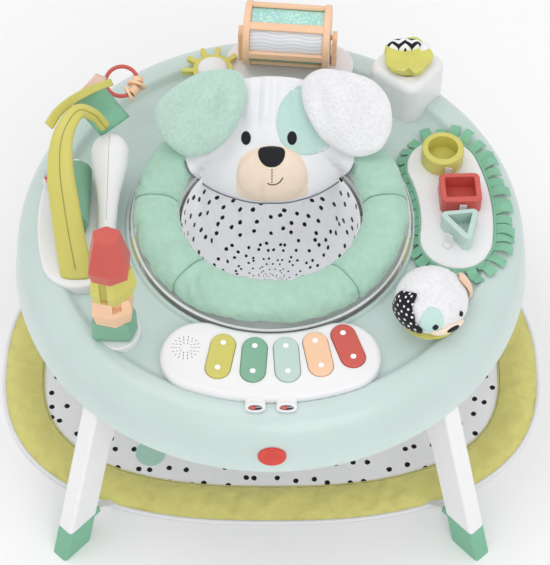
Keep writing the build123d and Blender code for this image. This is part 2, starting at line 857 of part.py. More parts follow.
def front_slots(xs, length, width, y, depth, mode=Mode.ADD):
    """Slot-shaped bars at switch height, from y towards the front."""
    with BuildSketch(across_y(y)) as outline:
        with Locations(*[(x, SWITCH_Z) for x in xs]):
            SlotOverall(length, width)
    extrude(outline.sketch, amount=depth, mode=mode)


def piano_housing():
    """Hollow curved case with key windows, speaker grille and switch slots."""
    switches = (POWER_X, VOLUME_X)
    with BuildPart() as housing:
        arc_plate(PIANO_ARC, PIANO_W, z=SINK_Z, height=46)
        fillet(top_edges(housing), 8)
        # sleeves of the two switches
        front_slots(switches, 30, 11, y=-332, depth=20)
        cut_to_tray()
        # hollow inside
        arc_plate(PIANO_ARC, PIANO_W - 6.4, z=395, height=27.8, mode=Mode.SUBTRACT)
        with BuildSketch(at_height(400)) as key_windows:
            for name in KEYS:
                with Locations(key_location(name)):
                    SlotOverall(KEY_L + KEY_PLAY, KEY_W + KEY_PLAY)
        extrude(key_windows.sketch, amount=40, mode=Mode.SUBTRACT)
        # speaker grille: three rings of short slots
        with BuildSketch(at_height(415)) as grille:
            for radius, count in ((9, 10), (14, 14), (19, 18)):
                for i in range(count):
                    with Locations(turned(radius, 360 * i / count, centre=SPEAKER)):
                        Rectangle(3.2, 1.2)
        extrude(grille.sketch, amount=20, mode=Mode.SUBTRACT)
        # slots for the sliders
        front_slots(switches, 22, 5.6, y=-320, depth=40, mode=Mode.SUBTRACT)
    return housing.part


def piano_base():
    """Base plate with the battery well, open below."""
    with BuildPart() as base:
        arc_plate(PIANO_PLATE_ARC, 90, z=402.6, height=1.8)
        well_block(WELL_L, WELL_W, corner=5, z=378, height=26)
        well_block(WELL_L - 5, WELL_W - 5, corner=3, z=377, height=25, mode=Mode.SUBTRACT)
    return base.part


def battery_door():
    """Lid below the well, with a rim that enters it."""
    with BuildPart() as door:
        well_block(WELL_L, WELL_W, corner=5, z=374.8, height=3)
        with BuildSketch(at_height(377)) as rim:
            with Locations((0, WELL_Y)):
                RectangleRounded(97.2, 53.2, 3)
                RectangleRounded(93, 49, 2, mode=Mode.SUBTRACT)
        extrude(rim.sketch, amount=4)
    return door.part


def batteries():
    """Three cells lying along X, terminal caps to the right."""
    with BuildPart() as cells:
        for radius, x, length in ((7.1, -25, 49), (2.7, 23, 2.5)):
            with BuildSketch(Plane.YZ.offset(x)) as rounds:
                with Locations(*CELL_PLACES):
                    Circle(radius)
            extrude(rounds.sketch, amount=length)
    return cells.part


def sound_module():
    """Speaker cup and cone below the grille."""
    with BuildPart() as speaker:
        discs([SPEAKER], 21, z=405, height=9)
        discs([SPEAKER], 16, z=413, height=5)
    return speaker.part


def piano_key(name):
    """Capsule key with a soft top edge and two low dots."""
    with BuildPart() as key:
        with BuildSketch(at_height(KEY_Z0)) as capsule:
            with Locations(key_location(name)):
                SlotOverall(KEY_L, KEY_W)
        extrude(capsule.sketch, amount=KEY_Z1 - KEY_Z0)
        fillet(top_edges(key), 3)
        with BuildSketch(at_height(KEY_Z1 - 0.5)) as dots:
            with Locations(key_location(name)):
                with Locations((-22, 0), (22, 0)):
                    Circle(4.2)
        extrude(dots.sketch, amount=1.3)
    return key.part


def slider(slot_x):
    """Slider, set 4 mm left of its slot's centre."""
    with BuildPart() as bar:
        front_slots([slot_x - 4], 12, 5.2, y=-329, depth=21)
    return bar.part


def power_switch():
    return slider(POWER_X)


def volume_switch():
    return slider(VOLUME_X)


# ===========================================================================
# Wobbling plush puppy head, front right
# ===========================================================================
def peek_base():
    return toy_stand(PEEK, radius=38, height=13.2, post_radius=7, post_height=34)


def peek_puppy():
    """Rounded head with a blind bore for the post."""
    bottom_z = 416.5
    with BuildPart() as head:
        with BuildSketch(upright_plane(PEEK)) as section:
            with BuildLine():
                bottom = Line((0, bottom_z), (30, bottom_z))
                side = Spline(bottom @ 1, (50, 436), (49, 462), (28, 488), (0, 494),
                              tangents=[(1, 0.6), (-1, 0)])
                Line(side @ 1, bottom @ 0)
            make_face()
        revolve(section.sketch, axis=upright_axis(PEEK))
        discs([PEEK], 7.07, z=405, height=36, mode=Mode.SUBTRACT)
    return head.part


# ===========================================================================
# Shape sorter, right
# ===========================================================================
BLOCK_Z, BLOCK_H = 418.3, 29.0
HOLLOW_Z = BLOCK_Z + 4    # floor of the hollow in each block


def sorter_base():
    with BuildPart() as base:
        arc_plate(TILE_ARC, TILE_W, z=SINK_Z, height=38)
        fillet(top_edges(base), 3)
        cut_to_tray()
    return base.part


def sorter_fringe():
    """Band round the sorter base."""
    with BuildPart() as fringe:
        with BuildSketch(at_height(SINK_Z)) as outline:
            SlotArc(TILE_ARC, TILE_W + 16)
            SlotArc(TILE_ARC, TILE_W + 0.8, mode=Mode.SUBTRACT)
        extrude(outline.sketch, amount=37)
        cut_to_tray()
    return fringe.part


def hollow_block(outer, hollow):
    """Block with a soft top edge, hollowed from above."""
    with BuildPart() as block:
        extrude(outer, amount=BLOCK_H)
        fillet(top_edges(block), 3)
        extrude(hollow, amount=BLOCK_H, mode=Mode.SUBTRACT)
    return block.part


def ring_block():
    place = (268, 112)
    with BuildSketch(at_height(BLOCK_Z)) as outer:
        with Locations(place):
            Circle(33)
    with BuildSketch(at_height(HOLLOW_Z)) as hollow:
        with Locations(place):
            Circle(23.5)
    return hollow_block(outer.sketch, hollow.sketch)


def square_block():
    place = Location((291, 34, 0), (0, 0, 2))
    length, width = 63, 56
    with BuildSketch(at_height(BLOCK_Z)) as outer:
        with Locations(place):
            RectangleRounded(length, width, 9)
    with BuildSketch(at_height(HOLLOW_Z)) as hollow:
        with Locations(place):
            RectangleRounded(length - 17, width - 17, 4)
    return hollow_block(outer.sketch, hollow.sketch)


def triangle_block():
    corners = [(252, -14), (318, -6), (300, -76)]
    with BuildSketch(at_height(BLOCK_Z)) as outer:
        with BuildLine():
            Polyline(*corners, close=True)
        make_face()
        fillet(outer.vertices(), 8)
    with BuildSketch(at_height(HOLLOW_Z)) as hollow:
        with BuildLine():
            Polyline(*corners, close=True)
        make_face()
        offset(amount=-8.5)
    return hollow_block(outer.sketch, hollow.sketch)


def block_tethers():
    """Three small tabs on the sorter base."""
    # x, y, turn about Z
    tabs = [(275, 73, 80), (294, -0.5, 88), (268, -57, 50)]
    with BuildPart() as tethers:
        with BuildSketch(at_height(418.2)) as outline:
            with Locations(*[Location((x, y, 0), (0, 0, turn)) for x, y, turn in tabs]):
                Rectangle(8, 12)
        extrude(outline.sketch, amount=1.6)
    return tethers.part


# ===========================================================================
# Cloth-pull box, rear right
# ===========================================================================
def cloth_box():
    with BuildPart() as box:
        with BuildSketch(at_height(SINK_Z)) as outline:
            with Locations(BOX):
                RectangleRounded(BOX_W, BOX_W, 20)
        extrude(outline.sketch, amount=100)
        fillet(top_edges(box), 14)
        cut_to_tray()
        discs([BOX], 31, z=420, height=70, mode=Mode.SUBTRACT)
    return box.part


def pull_cloth():
    """Cloth: a round plug in the box and a soft square tuft above it."""
    with BuildPart() as cloth:
        discs([BOX], 29, z=424, height=58)
        with BuildSketch(at_height(481)) as tuft:
            with Locations(BOX):
                RectangleRounded(66, 62, 18)
        extrude(tuft.sketch, amount=20)
        fillet(top_edges(cloth), 8)
    return cloth.part


# ===========================================================================
# Export
# ===========================================================================
def save(name, part):
    part.label = name
    export_step(part, f"parts/{name}.step")


# each function is named after its piece
PIECES = [
    tray_top, tray_underframe, frame_screws, leg_feet, front_badge, play_mat, mat_straps,
    suspension_springs, spring_sleeves, bounce_ring, seat_ring, puppy_face_pad,
    seat_cushion, seat_sling, puppy_ears,
    drum_base, drum_posts, drum_cage, drum_core, sun_base, sun_wheel,
    tree_pod, tree_trunk, tree_knob, green_roller, tree_leaves, ring_rattle,
    rattle_beads, mirror_disc,
    stack_base, block_green, block_peach, block_lime, block_red,
    piano_housing, piano_base, battery_door, batteries, sound_module,
    power_switch, volume_switch, peek_base, peek_puppy,
    sorter_base, sorter_fringe, ring_block, square_block, triangle_block, block_tethers,
    cloth_box, pull_cloth,
]
for piece in PIECES:
    save(piece.__name__, piece())

for key_name in KEYS:
    save(f"key_{key_name}", piano_key(key_name))

front_left = leg_front_left()
front_right = mirrored(front_left, Plane.YZ)
save("leg_front_left", front_left)
save("leg_front_right", front_right)
save("leg_rear_left", mirrored(front_left, Plane.XZ))
save("leg_rear_right", mirrored(front_right, Plane.XZ))
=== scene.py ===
"""Baby activity centre: a round toy tray on four legs, a padded seat hung in its middle on four
springs, and a play mat underneath.

The origin is on the floor under the middle of the seat. +Z is up, the front is toward -Y and
the puppy face lies on the back of the seat ring. Shapes are written in millimetres and scaled
to metres when their mesh is made. Shader lengths are in metres.
"""
from collections import Counter
from functools import lru_cache
import math

import bmesh
import bpy
import numpy as np
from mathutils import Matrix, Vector, noise


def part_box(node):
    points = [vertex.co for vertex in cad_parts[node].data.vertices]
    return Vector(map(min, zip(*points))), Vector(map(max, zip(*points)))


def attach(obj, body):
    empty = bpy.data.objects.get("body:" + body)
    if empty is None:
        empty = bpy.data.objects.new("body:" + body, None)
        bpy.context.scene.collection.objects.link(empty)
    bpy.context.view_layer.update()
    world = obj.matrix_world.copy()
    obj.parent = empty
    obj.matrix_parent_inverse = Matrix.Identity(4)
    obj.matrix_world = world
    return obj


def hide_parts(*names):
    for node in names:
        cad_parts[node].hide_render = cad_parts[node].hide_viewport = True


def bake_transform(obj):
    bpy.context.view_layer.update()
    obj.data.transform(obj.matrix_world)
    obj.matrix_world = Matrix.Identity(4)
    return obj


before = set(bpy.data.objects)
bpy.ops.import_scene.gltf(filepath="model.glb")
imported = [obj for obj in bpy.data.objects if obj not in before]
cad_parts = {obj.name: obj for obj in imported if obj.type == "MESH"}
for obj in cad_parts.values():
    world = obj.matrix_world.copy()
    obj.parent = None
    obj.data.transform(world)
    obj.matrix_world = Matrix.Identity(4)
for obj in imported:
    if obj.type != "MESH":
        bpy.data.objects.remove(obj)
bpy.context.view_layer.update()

MM = 0.001
TURN = 2 * math.pi
ACROSS = Vector((1, 0, 0))


# ================================================================ numbers and curves
def srgb(*channels):
    """Linear colour from sRGB channels of 0 to 255."""
    shares = [c / 255.0 for c in channels]
    return tuple(c / 12.92 if c <= 0.04045 else ((c + 0.055) / 1.055) ** 2.4 for c in shares)


def tint(color, gain, lift=0.0):
    return tuple(min(1, c * gain + lift) for c in color)


def rumple(x, y, z):
    """Smooth noise, about -1 to 1."""
    return noise.noise(Vector((x, y, z)))


def clamp(value):
    return max(0.0, min(1.0, value))


def bell(distance, width):
    return math.exp(-(distance / width) ** 2)


def dome(rho, power, root):
    """1 in the middle of a pad (rho 0), falling to 0 at its rim (rho 1)."""
    return (1 - rho ** power) ** root


def wrap(angle):
    """The same angle between -pi and pi."""
    return (angle + math.pi) % TURN - math.pi


def centre(node):
    """Middle of a CAD piece, in mm."""
    low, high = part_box(node)
    return (low + high) * 500.0


def superellipse(angle, power):
    """Point of a rounded square of half-width 1."""
    c, s = math.cos(angle), math.sin(angle)
    e = 2 / power
    return math.copysign(abs(c) ** e, c), math.copysign(abs(s) ** e, s)


def ellipse(cx, cy, rx, ry, count):
    return [(cx + rx * math.cos(TURN * i / count), cy + ry * math.sin(TURN * i / count))
            for i in range(count)]


def centroid(points):
    return (sum(p[0] for p in points) / len(points), sum(p[1] for p in points) / len(points))


def plane(origin, across, normal):
    """Function that finds points over a plane: x across, y up its slope, n out of it."""
    slope = normal.cross(across)
    return lambda x, y, n: origin + across * x + slope * y + normal * n


def direction(points, i, closed=False):
    """Unit tangent of a path at point i."""
    count = len(points)
    before = points[i - 1 if closed else max(i - 1, 0)]
    after = points[(i + 1) % count if closed else min(i + 1, count - 1)]
    return (Vector(after[:3]) - Vector(before[:3])).normalized()


def resample(points, count, closed=True):
    """Even points along a Catmull-Rom curve, in as many columns as the points have."""
    knots = [np.array(p, float) for p in points]
    total = len(knots)
    dense = []
    for i in range(total if closed else total - 1):
        p0, p1, p2, p3 = (knots[(i + k) % total] for k in (-1, 0, 1, 2))
        if not closed:
            p0 = knots[max(i - 1, 0)]
            p3 = knots[min(i + 2, total - 1)]
        for k in range(12):
            t = k / 12
            dense.append(0.5 * ((2 * p1) + (-p0 + p2) * t + (2 * p0 - 5 * p1 + 4 * p2 - p3) * t * t
                                + (-p0 + 3 * p1 - 3 * p2 + p3) * t ** 3))
    dense.append(knots[0] if closed else knots[-1])
    dense = np.array(dense)
    steps = np.linalg.norm(np.diff(dense, axis=0), axis=1)
    lengths = np.concatenate([[0], np.cumsum(steps)])
    wanted = np.linspace(0, lengths[-1], count, endpoint=not closed)
    return [tuple(np.interp(s, lengths, column) for column in dense.T) for s in wanted]


# ================================================================ mesh tools
class Shape:
    """Vertices in mm, faces, and a pattern coordinate for every vertex."""

    def __init__(self):
        self.verts, self.faces, self.pattern = [], [], []

    def add(self, verts, faces, pattern=None):
        start = len(self.verts)
        verts = [tuple(p) for p in verts]
        self.verts.extend(verts)
        self.faces.extend([tuple(i + start for i in face) for face in faces])
        self.pattern.extend(verts if pattern is None else pattern)


def grid_faces(rows, cols, wrap_rows=False, wrap_cols=False):
    faces = []
    for i in range(rows if wrap_rows else rows - 1):
        for j in range(cols if wrap_cols else cols - 1):
            here, there = i * cols, ((i + 1) % rows) * cols
            k = (j + 1) % cols
            faces.append((here + j, there + j, there + k, here + k))
    return faces


def capped_faces(rows, cols):
    """Faces of a row of closed rings, with both ends capped."""
    faces = grid_faces(rows, cols, False, True)
    faces.append(tuple(range(cols))[::-1])
    faces.append(tuple((rows - 1) * cols + j for j in range(cols)))
    return faces


def tube(shape, points, radius, sides, closed=False):
    """Round tube along a path; radius is a number or a function of the share of the path."""
    points = [Vector(p) for p in points]
    rows = len(points)
    verts = []
    across = None
    for k, p in enumerate(points):
        along = direction(points, k, closed)
        if across is None:
            across = along.orthogonal()
        else:
            across = across - along * across.dot(along)
        if across.length < 1e-6:
            across = along.orthogonal()
        across.normalize()
        over = along.cross(across)
        r = radius(k / (rows - 1)) if callable(radius) else radius
        for j in range(sides):
            a = TURN * j / sides
            verts.append(p + across * (r * math.cos(a)) + over * (r * math.sin(a)))
    shape.add(verts, grid_faces(rows, sides, True, True) if closed
              else capped_faces(rows, sides))


def ribbon(shape, points, side, width, thick, taper=0.0):
    """Flat strap; side points across its width, taper is the share of width lost by its end."""
    cells = 6
    verts = []
    for i, p in enumerate(points):
        p = Vector(p)
        along = direction(points, i)
        across = Vector(side)
        across = (across - along * across.dot(along)).normalized()
        half = along.cross(across) * (thick / 2)
        w = width * (1 - taper * (i / (len(points) - 1)))
        row = [p + across * (-w / 2 + w * k / cells) for k in range(cells + 1)]
        verts += [q + half for q in row] + [q - half for q in row[::-1]]
    shape.add(verts, capped_faces(len(points), 2 * (cells + 1)))


def pillow(outline, to3d, top, bottom, rings, middle=None):
    """Closed pad over a 2D outline.

    top(x, y, rho) and bottom(x, y, rho) are its two surfaces, rho running from 0 in the
    middle to 1 on the outline. The two share the outermost ring.
    """
    n = len(outline)
    cx, cy = middle or centroid(outline)
    rhos = [1 - (1 - k / rings) ** 1.6 for k in range(1, rings + 1)]
    verts, pattern = [], []
    for surface, surface_rhos in ((top, rhos), (bottom, rhos[:-1])):
        verts.append(to3d(cx, cy, surface(cx, cy, 0.0)))
        pattern.append((cx * MM, cy * MM, 0))
        for rho in surface_rhos:
            for x, y in outline:
                u = cx + (x - cx) * rho
                v = cy + (y - cy) * rho
                verts.append(to3d(u, v, surface(u, v, rho)))
                pattern.append((u * MM, v * MM, 0))
    under = 1 + rings * n

    def upper(k, i):
        return 1 + k * n + i % n

    def lower(k, i):
        return upper(k, i) if k == rings - 1 else under + 1 + k * n + i % n

    faces = []
    for i in range(n):
        faces.append((0, upper(0, i), upper(0, i + 1)))
        faces.append((under, lower(0, i + 1), lower(0, i)))
        for k in range(rings - 1):
            faces.append((upper(k, i), upper(k + 1, i), upper(k + 1, i + 1), upper(k, i + 1)))
            faces.append((lower(k, i + 1), lower(k + 1, i + 1), lower(k + 1, i), lower(k, i)))
    shape = Shape()
    shape.add(verts, faces, pattern)
    return shape


def build(name, shape, material, smooth=True, recalc=True):
    """Object from a shape, with the pattern stored as the attribute "pat"."""
    me = bpy.data.meshes.new(name)
    me.from_pydata([(x * MM, y * MM, z * MM) for x, y, z in shape.verts], [], shape.faces)
    me.materials.append(skin[material])
    me.polygons.foreach_set("material_index", [0] * len(shape.faces))
    pattern = me.attributes.new("pat", "FLOAT_VECTOR", "POINT")
    pattern.data.foreach_set("vector", np.array(shape.pattern, np.float32).ravel())
    if recalc:
        bm = bmesh.new()
        bm.from_mesh(me)
        bmesh.ops.recalc_face_normals(bm, faces=bm.faces)
        bm.to_mesh(me)
        bm.free()
    me.polygons.foreach_set("use_smooth", [smooth] * len(me.polygons))
    me.update()
    piece = bpy.data.objects.new(name, me)
    bpy.context.scene.collection.objects.link(piece)
    return piece


def subdivide_once(piece):
    mod = piece.modifiers.new("sub", "SUBSURF")
    mod.levels = mod.render_levels = 1


def dress(piece, body=None, replaces=None):
    """Hide the CAD part a piece replaces and attach the piece to the body it moves with."""
    if replaces:
        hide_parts(replaces)
    if body:
        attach(piece, body)


def place(name, shape, material, body=None, replaces=None, smooth=True,
          subdivide=False, thickness=0, offset=-1):
    """Build a piece, add its modifiers and dress it."""
    piece = build(name, shape, material, smooth)
    if subdivide:
        subdivide_once(piece)
    if thickness:
        mod = piece.modifiers.new("thick", "SOLIDIFY")
        mod.thickness = thickness * MM
        mod.offset = offset
    dress(piece, body, replaces)
    return piece


def puff(piece, pins, pressure, frames, cap, shrink):
    """Inflate a closed piece as cloth; no vertex moves further than cap (mm)."""
    me = piece.data
    count = len(me.vertices)
    rest = np.zeros(count * 3, np.float32)
    me.vertices.foreach_get("co", rest)
    rest = rest.reshape(-1, 3)
    group = piece.vertex_groups.new(name="pin")
    group.add([i for i, pinned in enumerate(pins) if pinned], 1.0, "REPLACE")
    mod = piece.modifiers.new("cloth", "CLOTH")
    cloth = mod.settings
    cloth.quality = 5
    cloth.mass = 0.3
    cloth.tension_stiffness = cloth.compression_stiffness = 12.0
    cloth.shear_stiffness = 5
    cloth.bending_stiffness = 0.4
    cloth.use_pressure = True
    cloth.uniform_pressure_force = pressure
    cloth.effector_weights.gravity = 0
    cloth.shrink_min = shrink
    cloth.vertex_group_mass = "pin"
    mod.collision_settings.use_collision = False
    mod.point_cache.frame_start = 1
    mod.point_cache.frame_end = frames
    scene = bpy.context.scene
    for number in range(1, frames + 1):
        scene.frame_set(number)
    evaluated = piece.evaluated_get(bpy.context.evaluated_depsgraph_get())
    moved = np.zeros(count * 3, np.float32)
    evaluated.data.vertices.foreach_get("co", moved)
    shift = moved.reshape(-1, 3) - rest
    length = np.linalg.norm(shift, axis=1, keepdims=True)
    # a simulation that blew up leaves the piece at rest
    if not np.isfinite(moved).all():
        shift[:] = 0
        length[:] = 0
    shift = shift * np.minimum(1.0, cap * MM / np.maximum(length, 1e-9))
    piece.modifiers.remove(mod)
    scene.frame_set(1)
    me.vertices.foreach_set("co", (rest + shift).astype(np.float32).ravel())
    me.update()


# ================================================================ shader tools
class Paint:
    """Node tree of one material, with short calls for the nodes used here."""

    def __init__(self, name):
        self.material = bpy.data.materials.new(name)
        self.material.use_nodes = True
        self.tree = self.material.node_tree
        self.surface = self.tree.nodes["Principled BSDF"].inputs
        self.place = self.node("ShaderNodeTexCoord").outputs["Object"]

    def node(self, kind, **settings):
        node = self.tree.nodes.new(kind)
        for key, value in settings.items():
            setattr(node, key, value)
        return node

    def feed(self, socket, value):
        """Give a socket a number, a colour or a link."""
        if isinstance(value, (int, float)):
            socket.default_value = value
        elif isinstance(value, tuple):
            socket.default_value = (*value, 1.0)
        else:
            self.tree.links.new(value, socket)

    def noise(self, scale, detail, rough=0.5):
        node = self.node("ShaderNodeTexNoise")
        self.feed(node.inputs["Scale"], scale)
        self.feed(node.inputs["Detail"], detail)
        self.feed(node.inputs["Roughness"], rough)
        self.feed(node.inputs["Vector"], self.place)
        return node.outputs["Fac"]

    def math(self, operation, *values):
        node = self.node("ShaderNodeMath", operation=operation)
        for socket, value in zip(node.inputs, values):
            self.feed(socket, value)
        return node.outputs[0]

    def mix(self, share, first, second):
        node = self.node("ShaderNodeMix", data_type="RGBA")
        for index, value in ((0, share), (6, first), (7, second)):
            self.feed(node.inputs[index], value)
        return node.outputs[2]

    def step(self, value, low, high):
        node = self.node("ShaderNodeMapRange", interpolation_type="SMOOTHSTEP")
        self.feed(node.inputs["From Min"], low)
        self.feed(node.inputs["From Max"], high)
        self.feed(node.inputs["Value"], value)
        return node.outputs["Result"]

    def vector_math(self, operation, first, second):
        """Vector node of a link with a link or a plain triple."""
        node = self.node("ShaderNodeVectorMath", operation=operation)
        self.feed(node.inputs[0], first)
        if isinstance(second, tuple):
            node.inputs[1].default_value = second
        else:
            self.feed(node.inputs[1], second)
        return node.outputs

    def pattern(self):
        return self.node("ShaderNodeAttribute", attribute_name="pat").outputs["Vector"]

    def xyz(self, vector):
        node = self.node("ShaderNodeSeparateXYZ")
        self.feed(node.inputs[0], vector)
        return node.outputs

    def facing(self, blend):
        node = self.node("ShaderNodeLayerWeight")
        self.feed(node.inputs["Blend"], blend)
        return node.outputs["Facing"]

    def bump(self, height, strength, depth, normal=None):
        node = self.node("ShaderNodeBump")
        self.feed(node.inputs["Strength"], strength)
        self.feed(node.inputs["Distance"], depth)
        self.feed(node.inputs["Height"], height)
        if normal is not None:
            self.feed(node.inputs["Normal"], normal)
        return node.outputs[0]

    def shade(self, color, rough, mottle=0.05, mottle_scale=18.0, grain=0.0, grain_scale=900.0,
              grain_depth=0.0004, sheen=0.0, coat=0.0, metal=0.0, specular=0.5, normal=None):
        """Finish the material.

        mottle is the share the colour drifts lighter and darker, grain the strength of the
        fine bump laid over normal.
        """
        drift = []
        for value in (1 - mottle, 1 + mottle):
            node = self.node("ShaderNodeHueSaturation")
            self.feed(node.inputs["Value"], value)
            self.feed(node.inputs["Color"], color)
            drift.append(node.outputs[0])
        patches = self.step(self.noise(mottle_scale, detail=4), low=0.3, high=0.7)
        self.feed(self.surface["Base Color"], self.mix(patches, *drift))
        rough_swing = 0.06
        spread = self.node("ShaderNodeMapRange")
        self.feed(spread.inputs["To Min"], max(0.02, rough - rough_swing))
        self.feed(spread.inputs["To Max"], min(1.0, rough + rough_swing))
        self.feed(spread.inputs["Value"], self.noise(mottle_scale * 4, detail=3))
        self.feed(self.surface["Roughness"], spread.outputs[0])
        self.feed(self.surface["Metallic"], metal)
        self.feed(self.surface["Specular IOR Level"], specular)
        if sheen:
            self.feed(self.surface["Sheen Weight"], sheen)
            self.feed(self.surface["Sheen Roughness"], 0.4)
        if coat:
            self.feed(self.surface["Coat Weight"], coat)
            self.feed(self.surface["Coat Roughness"], 0.15)
        if grain:
            normal = self.bump(self.noise(grain_scale, detail=3), grain, grain_depth, normal)
        if normal is not None:
            self.feed(self.surface["Normal"], normal)
        return self.material


# ================================================================ kinds of material
def plastic(name, color, rough=0.42, coat=0.15, mottle=0.025, grain=0.12, grain_scale=1400):
    """Moulded plastic with a painted highlight: paler on its sharp edges, in patches."""
    p = Paint(name)
    pointed = p.node("ShaderNodeNewGeometry").outputs["Pointiness"]
    # painted highlight: sharp convex edges are tinted paler, in patches
    edge_highlight_mask = p.math("MULTIPLY", p.step(pointed, low=0.50, high=0.58), p.noise(60, detail=4))
    edge_highlighted = p.mix(p.math("MULTIPLY", edge_highlight_mask, 0.30), color, tint(color, gain=1.35, lift=0.05))
    return p.shade(edge_highlighted, rough, mottle, mottle_scale=14, grain=grain, grain_scale=grain_scale,
                   grain_depth=0.00025, coat=coat)


def steel(name):
    p = Paint(name)
    brushed = p.bump(p.noise(900, detail=2), strength=0.15, depth=0.0002)
    return p.shade(srgb(178, 180, 184), rough=0.28, mottle=0.06, mottle_scale=60, metal=1.0,
                   normal=brushed)


def napped(name, color, nap, nap_range, dark, light, rim, sheen_rim_blend, sheen_rim_share, tuft,
           tuft_bump, finish):
    """Cloth with a raised nap: blotches from dark to light, a painted sheen that turns the rim
    pale where the surface turns away from view, and soft bumps.
    """
    p = Paint(name)
    blotches = p.step(p.noise(**nap), *nap_range)
    body = p.mix(blotches, tint(color, *dark), tint(color, *light))
    # painted sheen: paler where the surface turns away from view
    edge = p.math("MULTIPLY", p.facing(sheen_rim_blend), sheen_rim_share)
    return p.shade(p.mix(edge, body, tint(color, *rim)),
                   normal=p.bump(p.noise(**tuft), **tuft_bump), **finish)


# dark, light and rim are (gain, lift) pairs on the colour; rim is the colour of the painted sheen
VELOUR = dict(
    nap=dict(scale=26, detail=5, rough=0.6), nap_range=(0.35, 0.7),
    dark=(0.955,), light=(1.03,), rim=(1.25, 0.04), sheen_rim_blend=0.35, sheen_rim_share=0.35,
    tuft=dict(scale=38, detail=5, rough=0.6), tuft_bump=dict(strength=0.28, depth=0.004),
    finish=dict(rough=0.9, mottle=0.03, mottle_scale=90, sheen=0.5, grain=0.5,
                grain_scale=2600, grain_depth=0.0005, specular=0.15))
PLUSH = dict(
    nap=dict(scale=190, detail=6, rough=0.75), nap_range=(0.30, 0.62),
    dark=(0.93,), light=(1.04, 0.01), rim=(1.15, 0.06), sheen_rim_blend=0.3, sheen_rim_share=0.4,
    tuft=dict(scale=420, detail=6, rough=0.8), tuft_bump=dict(strength=0.45, depth=0.0016),
    finish=dict(rough=0.95, mottle=0.03, mottle_scale=35, sheen=0.8, grain=0.5,
                grain_scale=1800, grain_depth=0.001, specular=0.1))


def weave_bump(p, strength, normal):
    """Crossed threads, from two sine waves."""
    threads = 3080      # radians per metre
    x, y, z = p.xyz(p.place)
    warp = p.math("SINE", p.math("MULTIPLY", p.math("ADD", x, z), threads))
    weft = p.math("SINE", p.math("MULTIPLY", p.math("SUBTRACT", y, z), threads))
    return p.bump(p.math("MULTIPLY", warp, weft), strength, depth=0.0004, normal=normal)


def woven(name, color, mottle=0.05, weave=0.3, wrinkle=0.4, painted_glow=0.0):
    """Woven cloth; color is a colour or a function that paints a print; the cloth may also glow
    faintly in its own colour as painted light.
    """
    p = Paint(name)
    if callable(color):
        color = color(p)
    creases = p.bump(p.noise(70, detail=5, rough=0.6), strength=wrinkle, depth=0.004)
    threads = weave_bump(p, weave, creases)
    # painted light: the cloth glows in its own colour though it is no lamp
    if painted_glow:
        p.feed(p.surface["Emission Color"], color)
        p.feed(p.surface["Emission Strength"], painted_glow)
    return p.shade(color, rough=0.85, mottle=mottle, mottle_scale=40, sheen=0.25,
                   normal=threads, grain=0.2, grain_scale=2500, specular=0.2)


def dots(p, scale, radius, ground, dot, randomness, wobble=0.0012, vector=None):
    """Spots scattered over a ground; wobble (m) bends their outlines."""
    soft = 0.02
    vector = vector or p.pattern()
    bend = p.node("ShaderNodeTexNoise")
    p.feed(bend.inputs["Scale"], 160)
    p.feed(bend.inputs["Vector"], vector)
    centred = p.vector_math("SUBTRACT", bend.outputs["Color"], (0.5, 0.5, 0.5))[0]
    shift = p.node("ShaderNodeVectorMath", operation="SCALE")
    p.feed(shift.inputs["Scale"], wobble * 2)
    p.feed(shift.inputs[0], centred)
    cells = p.node("ShaderNodeTexVoronoi", voronoi_dimensions="2D")
    p.feed(cells.inputs["Scale"], scale)
    p.feed(cells.inputs["Randomness"], randomness)
    p.feed(cells.inputs["Vector"], p.vector_math("ADD", vector, shift.outputs[0])[0])
    return p.mix(p.step(cells.outputs["Distance"], radius - soft, radius + soft), dot, ground)


def sling_print(p):
    return dots(p, scale=43, radius=0.165, ground=srgb(238, 238, 241), dot=srgb(24, 24, 28),
                randomness=0.75)


def mat_print(p):
    """Black dots on white, with one mint disc toward the front left corner."""
    disc_x, disc_y = -0.198, -0.173
    vector = p.pattern()
    spots = dots(p, scale=34, radius=0.155, ground=srgb(240, 240, 242), dot=srgb(24, 24, 28),
                 randomness=0.7, vector=vector)
    x, y, _ = p.xyz(vector)
    dx = p.math("SUBTRACT", x, disc_x)
    dy = p.math("SUBTRACT", y, disc_y)
    squares = p.math("ADD", p.math("MULTIPLY", dx, dx), p.math("MULTIPLY", dy, dy))
    outside = p.step(p.math("SQRT", squares), low=0.024, high=0.026)
    return p.mix(outside, srgb(176, 216, 200), spots)


def ear_print(p):
    return dots(p, scale=105, radius=0.20, ground=srgb(30, 30, 36), dot=srgb(240, 240, 240),
                randomness=0.35, wobble=0.0)


def zebra_print(p):
    """Zigzag stripes."""
    zigzag, slope, wander, pitch = 0.009, 0.9, 0.004, 0.0125
    x, y, _ = p.xyz(p.pattern())
    fold = p.math("PINGPONG", p.math("MULTIPLY", x, 1.0), zigzag)
    y = p.math("ADD", y, p.math("MULTIPLY", fold, slope))
    y = p.math("ADD", y, p.math("MULTIPLY", p.noise(60, detail=1), wander))
    stripes = p.math("SINE", p.math("MULTIPLY", y, TURN / pitch))
    return p.mix(p.step(stripes, low=-0.12, high=0.12), srgb(30, 30, 40), srgb(242, 242, 244))


def battery_jacket(name):
    """Dark cells with a brass-coloured band on the +X side."""
    p = Paint(name)
    band = p.step(p.xyz(p.place)[0], low=0.010, high=0.0105)
    return p.shade(p.mix(band, srgb(40, 42, 48), srgb(190, 150, 90)), rough=0.35, metal=0.3,
                   grain=0.1)


def key_plastic(name, color):
    """Piano key with a white marking raised above its top."""
    p = Paint(name)
    raised = p.step(p.xyz(p.place)[2], low=0.43015, high=0.4304)
    return p.shade(p.mix(raised, color, srgb(244, 244, 244)), rough=0.36, mottle=0.02,
                   coat=0.2, grain=0.1, grain_scale=1500, grain_depth=0.0002)


